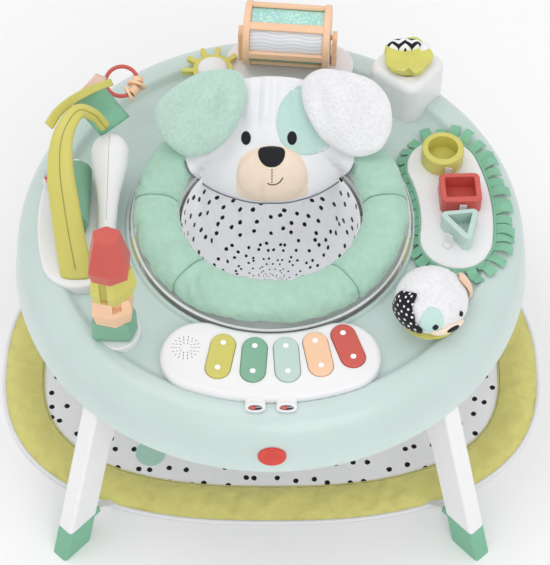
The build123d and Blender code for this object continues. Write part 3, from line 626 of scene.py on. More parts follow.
def drum_panels(name):
    """Panels round the drum: mint glitter, white with wavy lines, green."""
    p = Paint(name)
    axis = (0.9962, -0.0872, 0.0)
    sideways = tuple(float(a) for a in np.cross(axis, (0, 0, 1)))
    middle = tuple(centre("drum_core") * MM)
    from_middle = p.vector_math("SUBTRACT", p.place, middle)[0]

    def along(vector):
        return p.vector_math("DOT_PRODUCT", from_middle, vector)["Value"]

    angle = p.math("ARCTAN2", along(sideways), along((0.0, 0.0, 1.0)))
    length = along(axis)
    panel = p.math("DIVIDE", p.math("ADD", angle, TURN + math.pi / 6), math.pi / 3)
    kind = p.math("FLOOR", p.math("MODULO", panel, 3.0))
    flakes = p.node("ShaderNodeTexVoronoi")
    p.feed(flakes.inputs["Scale"], 420)
    p.feed(flakes.inputs["Vector"], p.place)
    sparkle = p.step(p.xyz(flakes.outputs["Color"])[0], low=0.55, high=0.9)
    glitter = p.mix(sparkle, srgb(156, 212, 202), srgb(205, 236, 228))
    lines, bends, swing = 46.0, 120.0, 1.6
    sway = p.math("MULTIPLY", p.math("SINE", p.math("MULTIPLY", length, bends)), swing)
    waves = p.math("SINE", p.math("ADD", p.math("MULTIPLY", angle, lines), sway))
    white = p.mix(p.step(waves, low=0.55, high=0.95), srgb(228, 229, 234), srgb(202, 205, 214))
    green = p.mix(0.5, GREEN, srgb(104, 160, 130))
    glitter_or_green = p.mix(p.math("COMPARE", kind, 2.0), glitter, green)
    color = p.mix(p.math("COMPARE", kind, 1.0), glitter_or_green, white)
    return p.shade(color, rough=0.35, mottle=0.02, coat=0.3, grain=0.15, grain_scale=700)


def mirror_painted_reflection(name):
    """Mirror disc face with a painted reflection of slanting bands in three colours, and a grey
    rim.
    """
    p = Paint(name)
    half_width, half_height = 0.030, 0.034
    low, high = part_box("mirror_disc")
    _, y, z = p.xyz(p.place)
    u = p.math("DIVIDE", p.math("SUBTRACT", y, (low.y + high.y) / 2), half_width)
    v = p.math("DIVIDE", p.math("SUBTRACT", z, high.z - half_height), half_height)
    squares = p.math("ADD", p.math("MULTIPLY", u, u), p.math("MULTIPLY", v, v))
    # painted reflection: slanting coral, dark and peach bands stand in for what the mirror
    # reflects
    slant = p.math("MULTIPLY", p.math("ADD", u, v), 2.2)
    band = p.math("MODULO", p.math("ADD", slant, 20.0), 3.0)
    reflection_bands = p.mix(p.step(band, low=0.98, high=1.0), srgb(206, 84, 78), srgb(36, 36, 40))
    reflection_bands = p.mix(p.step(band, low=1.98, high=2.0), reflection_bands, srgb(238, 200, 170))
    rim = p.step(p.math("SQRT", squares), low=0.80, high=0.82)
    return p.shade(p.mix(rim, reflection_bands, srgb(196, 198, 202)), rough=0.3, mottle=0.03, coat=0.4,
                   grain=0.1)


# ================================================================ material library
GREEN = srgb(122, 172, 145)
LIME = srgb(203, 196, 98)
CORAL = srgb(198, 82, 72)
PEACH = srgb(240, 196, 160)
PALE_MINT = srgb(186, 210, 202)

PLASTICS = {
    "tray_mint": dict(color=srgb(194, 211, 207), rough=0.34, coat=0.25, mottle=0.015,
                      grain=0.10, grain_scale=1600),
    "white_moulding": dict(color=srgb(230, 230, 232), rough=0.36, coat=0.2, mottle=0.01),
    "leg_moulding": dict(color=srgb(233, 233, 235), rough=0.45, coat=0.05, mottle=0.012,
                         grain=0.2, grain_scale=1100),
    "foot_green": dict(color=srgb(118, 176, 146), rough=0.6, coat=0.0, mottle=0.03,
                       grain=0.3, grain_scale=900),
    "green_moulding": dict(color=GREEN),
    "lime_moulding": dict(color=LIME),
    "coral_moulding": dict(color=CORAL),
    "peach_moulding": dict(color=PEACH, rough=0.45),
    "lime_seam": dict(color=srgb(150, 144, 62), rough=0.6, coat=0.0),
    "mint_moulding": dict(color=PALE_MINT),
    "grey_moulding": dict(color=srgb(176, 180, 182), rough=0.5, coat=0.0, mottle=0.03,
                          grain=0.25, grain_scale=900),
    "badge_red": dict(color=srgb(204, 50, 34), rough=0.4, coat=0.1, mottle=0.02),
    # dark plastic of the sound module, also used as the painted shade in the switch slots
    "dark_module_and_slot_shade": dict(color=srgb(44, 44, 48), rough=0.5, coat=0.0, mottle=0.05),
}
NAPPED = {
    # darker velour for the painted shade along the cushion seams
    "velour_seam_shade": (srgb(128, 168, 150), VELOUR),
    "mint_velour": (srgb(168, 205, 187), VELOUR),
    "plush_mint": (srgb(184, 212, 201), PLUSH),
    "plush_white": (srgb(232, 232, 235), PLUSH),
    "plush_peach": (srgb(240, 200, 170), PLUSH),
}
WOVEN = {
    "cloth_white": dict(color=srgb(236, 236, 240), mottle=0.015, wrinkle=0.25),
    "cloth_peach": dict(color=srgb(242, 222, 203), mottle=0.015, wrinkle=0.15),
    "cloth_mint": dict(color=srgb(192, 222, 214), mottle=0.02, wrinkle=0.2),
    "cloth_black": dict(color=srgb(36, 36, 42), wrinkle=0.1),
    "cloth_green": dict(color=srgb(132, 188, 158), wrinkle=0.5),
    "cloth_lime": dict(color=srgb(212, 208, 112), mottle=0.04, wrinkle=0.5),
    "cloth_pink": dict(color=srgb(236, 200, 186), mottle=0.04),
    "mat_lime": dict(color=srgb(216, 210, 128), mottle=0.035, wrinkle=0.7),
    "piping_white": dict(color=srgb(238, 238, 240), mottle=0.01, weave=0.5, wrinkle=0.1),
    "piping_grey": dict(color=srgb(120, 122, 128), mottle=0.03, weave=0.5, wrinkle=0.1),
    "webbing_white": dict(color=srgb(236, 236, 236), mottle=0.02, weave=0.7, wrinkle=0.1),
    "thread_white": dict(color=srgb(235, 245, 242), mottle=0.02, weave=0.5, wrinkle=0.1),
    # the sling print gets a faint painted glow
    "sling_dots": dict(color=sling_print, mottle=0.012, wrinkle=0.55, painted_glow=0.10),
    "mat_dots": dict(color=mat_print, mottle=0.012, wrinkle=0.35),
    "ear_dots": dict(color=ear_print, mottle=0.02, wrinkle=0.1),
    "cloth_zebra": dict(color=zebra_print, mottle=0.02, wrinkle=0.3),
}
KEY_COLORS = {"key_lime": LIME, "key_green": GREEN, "key_mint": PALE_MINT,
              "key_peach": PEACH, "key_coral": CORAL}

# CAD pieces kept as they are, by material
CAD_SKINS = {
    "tray_mint": ("tray_top",),
    "white_moulding": ("drum_base", "sun_base", "tree_pod", "stack_base", "piano_housing",
                       "peek_base", "sorter_base", "cloth_box", "seat_ring"),
    "leg_moulding": ("leg_front_left", "leg_front_right", "leg_rear_left", "leg_rear_right"),
    "foot_green": ("leg_feet",),
    "grey_moulding": ("tray_underframe", "bounce_ring", "piano_base", "battery_door"),
    "spring_steel": ("frame_screws",),
    "badge_red": ("front_badge",),
    "green_moulding": ("green_roller", "block_green"),
    "lime_moulding": ("sun_wheel", "block_lime", "ring_block"),
    "coral_moulding": ("block_red", "square_block", "power_switch", "volume_switch",
                       "ring_rattle"),
    "peach_moulding": ("block_peach", "drum_posts", "drum_cage", "rattle_beads"),
    "mint_moulding": ("triangle_block",),
    "dark_module_and_slot_shade": ("sound_module",),
    "cell_jacket": ("batteries",),
    "drum_panels": ("drum_core",),
    # the mirror disc carries a painted reflection
    "mirror_painted_reflection": ("mirror_disc",),
}

skin = {}


def make_materials():
    for name, look in PLASTICS.items():
        skin[name] = plastic(name, **look)
    skin["spring_steel"] = steel("spring_steel")
    for name, (color, nap) in NAPPED.items():
        skin[name] = napped(name, color, **nap)
    for name, look in WOVEN.items():
        skin[name] = woven(name, **look)
    skin["cell_jacket"] = battery_jacket("cell_jacket")
    for key, color in KEY_COLORS.items():
        skin[key + "_skin"] = key_plastic(key + "_skin", color)
    skin["drum_panels"] = drum_panels("drum_panels")
    skin["mirror_painted_reflection"] = mirror_painted_reflection("mirror_painted_reflection")


def paint_node(node, material):
    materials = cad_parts[node].data.materials
    if len(materials) == 0:
        materials.append(material)
    for i in range(len(materials)):
        materials[i] = material


def paint_cad():
    for name, cad_nodes in CAD_SKINS.items():
        for node in cad_nodes:
            paint_node(node, skin[name])
    for key in KEY_COLORS:
        paint_node(key, skin[key + "_skin"])


# ================================================================ seat cushion
CUSHION_RADIUS = 175.5          # of the middle of the padded ring
CUSHION_HALF_WIDTH = 38.5
CUSHION_HALF_HEIGHT = 25.5
CUSHION_Z = 434.5
CUSHION_POWER = 2.35            # squareness of its section
CUSHION_SEAMS = (176, 226, 309, 4, 55, 125)     # degrees from +X
SEAM_DEPTH = 0.075              # share of the section lost in the seam itself
SEAM_HOLLOW = 0.02              # share lost in the wide hollow round it
COVER_INSET = (3.0, 2.4)        # of the cover before it is inflated, across and up


def cushion_section(angle, share, wrinkle_across, wrinkle_up):
    """Radius and height of the cover at an angle round its section."""
    x, z = superellipse(angle, CUSHION_POWER)
    inset_across, inset_up = COVER_INSET
    return (CUSHION_RADIUS + x * (CUSHION_HALF_WIDTH * share - inset_across + wrinkle_across),
            CUSHION_Z + z * (CUSHION_HALF_HEIGHT * share - inset_up + wrinkle_up))


def build_cushion_cover():
    rows, cols = 300, 40
    floor_z = 410.3
    verts, pins = [], []
    for i in range(rows):
        turn = TURN * i / rows
        gaps = [(math.degrees(turn) - seam + 180) % 360 - 180 for seam in CUSHION_SEAMS]
        seam = max(bell(gap, 1.1) for gap in gaps)
        hollow = max(bell(gap, 9.0) for gap in gaps)
        share = 1 - SEAM_DEPTH * seam - SEAM_HOLLOW * hollow
        for j in range(cols):
            angle = TURN * j / cols
            wrinkle = (1.3 * rumple(turn * 9, angle * 1.3, 1.0)
                       + 0.9 * rumple(turn * 22, angle * 2.0, 4.0) * (0.4 + hollow))
            r, z = cushion_section(angle, share, wrinkle, wrinkle * 0.8)
            verts.append((r * math.cos(turn), r * math.sin(turn), max(z, floor_z)))
            pins.append(seam > 0.55 or math.sin(angle) < -0.86)
    shape = Shape()
    shape.add(verts, grid_faces(rows, cols, True, True))
    cover = build("cushion_cover", shape, "mint_velour")
    puff(cover, pins, pressure=2.2, frames=16, cap=5.0, shrink=-0.045)
    subdivide_once(cover)
    dress(cover, "seat", "seat_cushion")


def build_cushion_seams():
    """Pulled seams across the top of the cover, in darker velour as painted shade in their
    creases.
    """
    stations = 40
    proud = 1.0
    share = 1 - SEAM_DEPTH - SEAM_HOLLOW
    shape = Shape()
    for seam in CUSHION_SEAMS:
        turn = math.radians(seam)
        points = []
        for k in range(stations):
            angle = math.radians(-30 + 240 * k / (stations - 1))
            wrinkle = 0.6 * 1.3 * rumple((turn % TURN) * 9, (angle % TURN) * 1.3, 1.0) + proud
            r, z = cushion_section(angle, share, wrinkle, wrinkle)
            points.append((r * math.cos(turn), r * math.sin(turn), max(z, 411.5)))
        tube(shape, points, radius=0.9, sides=6)
    # painted shade: the seam ridges are darker than the cover, standing in for the shade in each
    # crease
    place("cushion_seams", shape, "velour_seam_shade", "seat")


def build_cushion_piping():
    """White piping round the lower outer edge."""
    radius = CUSHION_RADIUS + CUSHION_HALF_WIDTH - 1.2
    shape = Shape()
    points = [(x, y, 416.5) for x, y in ellipse(0, 0, radius, radius, 200)]
    tube(shape, points, radius=2.6, sides=8, closed=True)
    place("cushion_piping", shape, "piping_white", "seat")


# ================================================================ puppy face pad
# The pad leans over the back of the cushion. In its plane x runs across and s up the slope.
face_point = plane(Vector((0, 138, 436)), ACROSS, Vector((0, -0.655, 0.755)).normalized())

# outlines on the pad: x, s
FACE_OUTLINE = [
    (-131.5, -31.9), (-123.8, -50.7), (-103.5, -71.1), (-72.1, -86.8), (-32.9, -97.7),
    (-1.5, -99.3), (29.8, -97.7), (69, -86.8), (100.4, -69.5), (119.1, -52.3), (127.9, -36),
    (129, -6), (120, 28), (99, 62), (62, 90), (0, 99), (-62, 90), (-99, 62), (-120, 28),
    (-132, -6)]
LOWER_EDGE_POINTS = 11      # the first of these run along the lower edge
SNOUT = [
    (-54, -62), (-50.5, -36), (-38, -19.5), (-18, -11.5), (1.6, -9.5), (29.6, -13),
    (46, -25.0), (55.5, -44), (57.5, -66), (56, -85), (40, -92.5), (-1.5, -97.3),
    (-38, -93.5), (-53, -84)]
EYE_PATCH = [
    (45.2, 84), (26.5, 72), (12.5, 51), (8.4, 22.8), (14.6, -2), (31.2, -17.5),
    (53.1, -24.5), (76.4, -20), (92, -8), (88, 30), (70, 62)]
EYE_PATCH_MIDDLE = (48.0, 24.0)
NOSE = [
    (-20, -18), (-15, -12), (1.0, -9.8), (17, -12), (22, -18), (21, -28), (15.5, -37),
    (7, -42.2), (-5, -42.2), (-13.5, -37), (-19, -28)]
SMILE = [(-5.6, -67.5), (-1, -69.6), (5, -69.8), (11, -67.6), (15.5, -63.5), (18.6, -58.5)]
# forehead folds: x, width, depth (negative depths are ridges)
FOREHEAD_FOLDS = [
    (-21, 3.6, 8.0), (-9, 4.5, -3.5), (4, 3.8, 6.5), (18, 5.0, -2.6), (-34, 6, -2.2),
    (-46, 4, 4.0), (33, 4, 3.0)]
FACE_EDGE = resample(FACE_OUTLINE, 150)
SNOUT_MIDDLE = centroid(resample(SNOUT, 90))
DRAPE_CELL = 3


def inside_cushion(p):
    margin = 2.5
    across = abs(math.hypot(p.x, p.y) - CUSHION_RADIUS) / (CUSHION_HALF_WIDTH + margin)
    up = abs(p.z - CUSHION_Z) / (CUSHION_HALF_HEIGHT + margin)
    return across ** CUSHION_POWER + up ** CUSHION_POWER < 1


@lru_cache(maxsize=None)
def drape_at(column, row):
    """Lowest height at which one cell of the pad clears the cushion."""
    lowest = -30.0
    height = 62.0
    while height > lowest:
        if inside_cushion(face_point(column * DRAPE_CELL, row * DRAPE_CELL, height)):
            return height
        height -= 1.5
    return lowest


def drape(x, s):
    """Clearing height, averaged over the neighbouring cells."""
    offsets = (-DRAPE_CELL, 0, DRAPE_CELL)
    return sum(drape_at(round((x + dx) / DRAPE_CELL), round((s + ds) / DRAPE_CELL))
               for dx in offsets for ds in offsets) / 9


def face_rho(x, s):
    """Distance from the middle as a share of the outline's distance that way."""
    r = math.hypot(x, s)
    if r < 1e-6:
        return 0.0
    a = math.atan2(s, x)
    edge = min(FACE_EDGE, key=lambda p: abs(wrap(math.atan2(p[1], p[0]) - a)))
    return r / math.hypot(*edge)


def face_height(x, s, rho=None):
    """Height of the pad's front above its plane."""
    if rho is None:
        rho = min(1.0, face_rho(x, s))
    pad = 4 + 22 * dome(rho, 3.2, 0.62)
    forehead = clamp((s - 2) / 60.0)
    for fold_x, width, depth in FOREHEAD_FOLDS:
        pad -= forehead * depth * bell(x - fold_x - 0.06 * (s - 40), width)
    pad += 0.9 * rumple(x * 0.035, s * 0.035, 2) + 0.5 * rumple(x * 0.09, s * 0.09, 5)
    over_cushion = drape(x, s) + 1.5
    # smooth maximum of the two
    blend = 3.0
    top = max(pad, over_cushion)
    return top + blend * math.log(math.exp((pad - top) / blend)
                                  + math.exp((over_cushion - top) / blend))


def no_lift(x, s):
    return 0


def snout_lift(x, s):
    """Extra height of the snout, with a crease left of its middle."""
    mx, ms = SNOUT_MIDDLE
    r = min(1.0, math.hypot((x - mx) / 55.0, (s - ms) / 45.0))
    crease = 4.5 * bell(x + 14, 4.0) * clamp((-s - 55) / 25.0)
    return max(0.0, 9.0 * dome(r, 3, 0.6) - crease)


def face_patch(name, outline, count, thick, material, gap=0.0, rings=12, lift=no_lift):
    """Cloth patch lying on the face pad."""
    def ground(x, s):
        return face_height(x, s) + gap + lift(x, s)

    shape = pillow(resample(outline, count), face_point,
                   lambda x, s, rho: ground(x, s) + thick * dome(rho, 4.0, 0.5),
                   lambda x, s, rho: ground(x, s) - 1.5, rings)
    place(name, shape, material, "seat")


def stitch(shape, points, heights, radius, lift=no_lift):
    """One thread over the face, at a height above it for each point."""
    tube(shape, [face_point(x, s, face_height(x, s) + lift(x, s) + height)
                 for (x, s), height in zip(points, heights)], radius, sides=6)


def build_face_pad():
    shape = pillow(FACE_EDGE, face_point, face_height,
                   lambda x, s, rho: -9 * dome(rho, 2.5, 0.5), rings=34, middle=(0, 0))
    place("face_pad", shape, "cloth_white", "seat", "puppy_face_pad",
          subdivide=True)
    lower_edge = resample(FACE_OUTLINE[:LOWER_EDGE_POINTS], 90, closed=False)
    outset = 1.004
    shape = Shape()
    tube(shape, [face_point(x * outset, s * outset, face_height(x, s, 1.0) + 0.6)
                 for x, s in lower_edge], radius=1.3, sides=8)
    place("face_piping", shape, "piping_grey", "seat")


def build_eye_stitches():
    """Dashed stitching just inside the edge of the eye patch."""
    count, inset = 200, 0.955
    mx, ms = EYE_PATCH_MIDDLE
    line = [(mx + (x - mx) * inset, ms + (s - ms) * inset)
            for x, s in resample(EYE_PATCH, count)]
    shape = Shape()
    for i in range(0, count, 4):
        start, end = line[i], line[(i + 2) % count]
        middle = ((start[0] + end[0]) / 2, (start[1] + end[1]) / 2)
        stitch(shape, (start, middle, end), (0.9, 1.5, 0.9), radius=0.55)
    place("face_eye_stitch", shape, "thread_white", "seat")


def build_mouth():
    """Dashed line down from the nose, and the smile."""
    shape = Shape()
    for k in range(5):
        s = -45.5 - k * 4.6
        stitch(shape, ((1.6, s), (1.6, s - 1.5), (1.6, s - 3.0)), (0.9, 1.4, 0.9),
               radius=0.7, lift=snout_lift)
    stitch(shape, resample(SMILE, 22, closed=False), [1.0] * 22, radius=0.8, lift=snout_lift)
    place("face_mouth_stitch", shape, "cloth_black", "seat")


def build_face():
    build_face_pad()
    face_patch("face_snout", SNOUT, 90, 0.8, "cloth_peach", rings=16, lift=snout_lift)
    face_patch("face_eye_patch", EYE_PATCH, 80, 0.7, "cloth_mint")
    build_eye_stitches()
    for k, x in enumerate((-38.8, 32.8)):
        face_patch(f"face_eye_{k}", ellipse(x, 2.6, 7.6, 10.8, 12), 40, 1.3, "cloth_black",
                   gap=0.8, rings=6)
    face_patch("face_nose", NOSE, 60, 3.2, "cloth_black", gap=0.4, rings=8,
               lift=snout_lift)
    build_mouth()


# ================================================================ puppy ears
# outlines in the plane of each ear: x, y
LEFT_EAR = [
    (-76.8, -5.1), (-71.4, -27.7), (-56.8, -49.2), (-35.1, -65.2), (-15.8, -70.2),
    (6.7, -64.9), (28.5, -50.0), (48.9, -21.2), (60.9, 14.5), (61.2, 42.6), (52.7, 65.0),
    (34.8, 72.1), (8.6, 68.9), (-16.9, 59.6), (-45.8, 38.9), (-68.2, 16.1)]
RIGHT_EAR = [
    (83.2, -21.3), (76.3, -43.7), (60.4, -63.5), (36.2, -71.0), (16.3, -68.7),
    (-4.1, -57.5), (-25.5, -39.5), (-40.1, -14.4), (-49.8, 13.2), (-52.0, 38.4),
    (-45.2, 59.4), (-22.2, 70.6), (4.0, 67.4), (34.1, 57.5), (61.9, 41.6), (80.6, 13.0)]


def build_ear(name, outline, side, material, dent, replaces=None):
    """Plush ear; side is -1 on the left (-X), 1 on the right."""
    middle_height = 14
    to3d = plane(Vector((side * 104.3, 140, 494)), Vector((0.984, 0, 0.18 * side)).normalized(),
                 Vector((-0.15 * side, -0.55, 0.82)).normalized())

    def fur(x, y, depth):
        return depth * (0.9 * rumple(x * 0.22, y * 0.22, 3 + side)
                        + 0.8 * rumple(x * 0.5, y * 0.5, 7) + 0.6 * rumple(x * 1.1, y * 1.1, 9))

    def top(x, y, rho):
        hollow = (dent["depth"] * bell(x - dent["x"] + dent["lean"] * y, dent["width"])
                  * bell(y - dent["y"], dent["length"]))
        return (middle_height + 17 * dome(rho, 2.6, 0.55) + fur(x, y, 1.0)
                + 2.2 * rumple(x * 0.03, y * 0.03, 11) - hollow)

    def bottom(x, y, rho):
        return middle_height - 11 * dome(rho, 2.6, 0.55) + fur(x, y, 0.5)

    shape = pillow(resample(outline, 170), to3d, top, bottom, rings=48)
    place(name, shape, material, "seat", replaces, subdivide=True)


def build_ears():
    build_ear("ear_left", LEFT_EAR, -1, "plush_mint",
              dict(depth=9.0, x=24.5, lean=0.05, width=8.0, y=16, length=26.0), "puppy_ears")
    build_ear("ear_right", RIGHT_EAR, 1, "plush_white",
              dict(depth=4.0, x=-22, lean=0, width=9.0, y=20, length=30.0))


# ================================================================ seat sling
# radius, z from the rim of the bowl down to its bottom
SLING_PROFILE = [(139.5, 405), (138, 385), (134.5, 350), (130, 315), (121, 284), (103, 254),
                 (79, 235), (45, 226), (8, 223)]
SLING_BOTTOM_Z = SLING_PROFILE[-1][1]
SLING_PRINT_RADIUS = 118.0      # at which the print keeps its true size
LEG_HOLE_HALF = (40, 46)


def sling_mesh():
    """Folded bowl: vertices, faces and print coordinates."""
    profile = resample(SLING_PROFILE, 46, closed=False)
    rows, cols = 240, len(profile)
    # lengths are divided by the local radius, so the print keeps its shape round the bowl
    depth = [0.0]
    for (r0, z0), (r1, z1) in zip(profile, profile[1:]):
        local = max(20.0, (r1 + r0) / 2)
        depth.append(depth[-1] + math.hypot(r1 - r0, z1 - z0) * SLING_PRINT_RADIUS / local)
    verts, pattern = [], []
    for i in range(rows):
        turn = TURN * i / rows
        for j, (r, z) in enumerate(profile):
            t = j / (cols - 1)
            fold = (2.4 * math.sin(11 * turn + 2.5 * rumple(turn * 2, 0, 1))
                    + 2.0 * rumple(turn * 7, t * 3, 2) + 1.3 * rumple(turn * 16, t * 5, 8))
            slack = min(1, t * 6) * (1 - t * 0.7)
            r = r - 2.0 + fold * slack - 2.0 * slack
            verts.append((r * math.cos(turn), r * math.sin(turn),
                          z + 1.5 * rumple(turn * 5, t * 4, 6) * slack))
            # the print's seam falls at the front
            pattern.append((wrap(turn - math.pi / 2) * SLING_PRINT_RADIUS * MM,
                            depth[j] * MM, 0))
    faces = grid_faces(rows, cols, True, False)
    bottom = len(verts)
    verts.append((0, 0, SLING_BOTTOM_Z))
    pattern.append((0, depth[-1] * MM, 0))
    for i in range(rows):
        faces.append((i * cols + cols - 1, bottom, ((i + 1) % rows) * cols + cols - 1))
    return verts, faces, pattern


def leg_hole(side):
    """Origin and x, y, z axes of an oval leg opening, z pointing out of the bowl."""
    out = Vector((side * 0.436, -0.9, -0.35)).normalized()
    across = Vector((0.9, side * 0.436, 0))
    across = (across - out * across.dot(out)).normalized()
    return Vector((side * 52, -40, 262)), across, out.cross(across), out


def in_hole(p, hole):
    """Share of the hole's radius at a point, with its place across the hole."""
    origin, across, up, out = hole
    d = Vector(p) - origin
    if d.dot(out) < 0:
        return 9.0, 0, 0
    x, y = d.dot(across), d.dot(up)
    return math.hypot(x / LEG_HOLE_HALF[0], y / LEG_HOLE_HALF[1]), x, y


def build_sling():
    verts, faces, pattern = sling_mesh()
    holes = [leg_hole(side) for side in (-1, 1)]
    cut = [any(in_hole(p, hole)[0] < 1 for hole in holes) for p in verts]
    faces = [face for face in faces if not any(cut[i] for i in face)]
    used = sorted({i for face in faces for i in face})
    shared = Counter((min(a, b), max(a, b))
                     for face in faces for a, b in zip(face, face[1:] + face[:1]))
    border = {i for edge, count in shared.items() if count == 1 for i in edge}
    # pull the ragged border of each cut onto its oval
    rims = [[], []]
    for i in border:
        p = Vector(verts[i])
        for rim, hole in zip(rims, holes):
            share, x, y = in_hole(p, hole)
            if share < 1.5:
                _, across, up, _ = hole
                q = p + across * (x / share - x) + up * (y / share - y)
                verts[i] = tuple(q)
                rim.append((math.atan2(y / LEG_HOLE_HALF[1], x / LEG_HOLE_HALF[0]), q))
    renumber = {old: new for new, old in enumerate(used)}
    shape = Shape()
    shape.add([verts[i] for i in used], [tuple(renumber[i] for i in face) for face in faces],
              [pattern[i] for i in used])
    place("sling_cloth", shape, "sling_dots", "seat", "seat_sling",
          thickness=1.6, offset=0)
    shape = Shape()
    for rim in rims:
        rim.sort(key=lambda entry: entry[0])
        points = [tuple(q) for _, q in rim[::max(1, len(rim) // 40)]]
        tube(shape, resample(points, 90), radius=2.2, sides=8, closed=True)
    place("sling_leg_binding", shape, "piping_white", "seat")


# ================================================================ play mat
MAT_POWER = 2.5             # squareness of its outline
MAT_EDGE_COUNT = 320
MAT_BORDER_WIDTH = 66
MAT_UNDERSIDE_Z = 1.2
MAT_PANEL_Z = 5.4
MAT_PANEL_OUTSET = 1.004    # tucks the panel under the border


def mat_edges():
    """Outer and inner outlines of the padded border."""
    _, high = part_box("play_mat")
    half_x, half_y = high.x * 1000 - 4.5, high.y * 1000 - 4.5
    corners = [superellipse(TURN * i / 96, MAT_POWER) for i in range(96)]
    outer = resample([(half_x * x, half_y * y) for x, y in corners], MAT_EDGE_COUNT)
    inner = []
    for i, (x, y) in enumerate(outer):
        before, after = outer[i - 1], outer[(i + 1) % MAT_EDGE_COUNT]
        tx, ty = after[0] - before[0], after[1] - before[1]
        length = math.hypot(tx, ty)
        inner.append((x - ty / length * MAT_BORDER_WIDTH, y + tx / length * MAT_BORDER_WIDTH))
    return outer, inner


def build_mat_border(outer, inner):
    rows = 15
    crown = 0.47        # share of the width at which the border is highest
    verts, pins = [], []
    for i in range(MAT_EDGE_COUNT):
        a, b = np.array(inner[i]), np.array(outer[i])
        turn = TURN * i / MAT_EDGE_COUNT
        for k in range(rows):
            t = k / (rows - 1)
            x, y = a + (b - a) * t
            edge = k in (0, rows - 1)
            off_crown, off_middle = abs(t - crown), abs(t - 0.5)
            pucker = (1.5 * rumple(turn * 24, t * 2.2, 1) * (0.5 + 1.2 * off_middle)
                      + 0.9 * rumple(turn * 60, t * 1.5, 4) * (0.3 + 1.4 * off_middle))
            z = 5.5 + 10.5 * (1 - (2 * off_crown) ** 2.4 if off_crown < 0.5 else 0)
            verts.append((x, y, max(5.0, z + (0 if edge else pucker))))
            pins.append(edge)
        for k in range(rows - 2, 0, -1):
            x, y = a + (b - a) * (k / (rows - 1))
            verts.append((x, y, MAT_UNDERSIDE_Z))
            pins.append(True)
    shape = Shape()
    shape.add(verts, grid_faces(MAT_EDGE_COUNT, 2 * rows - 2, True, True))
    border = build("mat_border", shape, "mat_lime")
    puff(border, pins, pressure=1.5, frames=12, cap=4.0, shrink=-0.05)
    subdivide_once(border)
    dress(border, "frame", "play_mat")


def build_mat_centre(inner):
    """Printed panel inside the border."""
    rings, count = 26, MAT_EDGE_COUNT
    verts, pattern = [(0, 0, MAT_PANEL_Z)], [(0, 0, 0)]
    for k in range(1, rings + 1):
        f = k / rings
        for x, y in inner:
            x, y = x * f, y * f
            ripple = 0
            if k < rings:
                ripple = (0.9 * rumple(x * 0.012, y * 0.012, 1)
                          + 0.6 * rumple(x * 0.03, y * 0.03, 3))
            verts.append((x * MAT_PANEL_OUTSET, y * MAT_PANEL_OUTSET, MAT_PANEL_Z + ripple))
            pattern.append((x * MM, y * MM, 0))
    under = len(verts)
    last = under - count
    for x, y in inner:
        verts.append((x * MAT_PANEL_OUTSET, y * MAT_PANEL_OUTSET, MAT_UNDERSIDE_Z))
        pattern.append((x * MM, y * MM, 0))
    verts.append((0, 0, MAT_UNDERSIDE_Z))
    pattern.append((0, 0, 0))
    faces = []
    for i in range(count):
        j = (i + 1) % count
        faces.append((0, 1 + i, 1 + j))
        for k in range(rings - 1):
            here, there = 1 + k * count, 1 + (k + 1) * count
            faces.append((here + i, there + i, there + j, here + j))
    for i in range(count):
        j = (i + 1) % count
        faces.append((last + i, under + i, under + j, last + j))
        faces.append((under + i, len(verts) - 1, under + j))
    shape = Shape()
    shape.add(verts, faces, pattern)
    place("mat_centre", shape, "mat_dots", "frame")


def build_mat():
    outer, inner = mat_edges()
    build_mat_border(outer, inner)
    build_mat_centre(inner)
    shape = Shape()
    tube(shape, [(x + 0.6 * np.sign(x), y, 5.0) for x, y in outer], radius=3.6, sides=10,
         closed=True)
    place("mat_piping", shape, "piping_white", "frame")
    shape = Shape()
    tube(shape, [(x, y, 6.4) for x, y in inner], radius=1.1, sides=6, closed=True)
    place("mat_inner_seam", shape, "mat_lime", "frame")


def build_mat_straps():
    """One strap from each leg down to the mat."""
    angle = math.radians(47)
    # distance from the middle, z
    profile = [(419, 50.5), (409, 50), (399, 42), (390, 33), (381, 24), (374, 17)]
    shape = Shape()
    for side_x in (-1, 1):
        for side_y in (-1, 1):
            c, s = math.cos(angle) * side_x, math.sin(angle) * side_y
            ribbon(shape, [(r * c, r * s, z) for r, z in profile], side=(-s, c, 0), width=12,
                   thick=1.4)
    place("mat_webbing", shape, "webbing_white", "frame", "mat_straps",
          smooth=False)


# ================================================================ springs and sleeves
SPRING_CIRCLE = 250         # distance of the springs from the middle
COIL_RADIUS, COIL_TURNS = 9, 9
COIL_LOW_Z, COIL_HEIGHT = 277.5, 63
SLEEVE_TOP_Z, SLEEVE_HEIGHT = 350.6, 77.4


def stretch(piece):
    """Bake a piece's placement into its mesh."""
    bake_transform(piece)


def build_coil(k, cx, cy):
    sweep = TURN * COIL_TURNS
    shape = Shape()
    tube(shape, [(cx + COIL_RADIUS * math.cos(t), cy + COIL_RADIUS * math.sin(t),
                  COIL_LOW_Z + COIL_HEIGHT * t / sweep) for t in np.linspace(0, sweep, 260)],
         radius=1.2, sides=8)
    coil = place(f"coil_{k}", shape, "spring_steel",
                 replaces="suspension_springs" if k == 0 else None)
    stretch(coil)


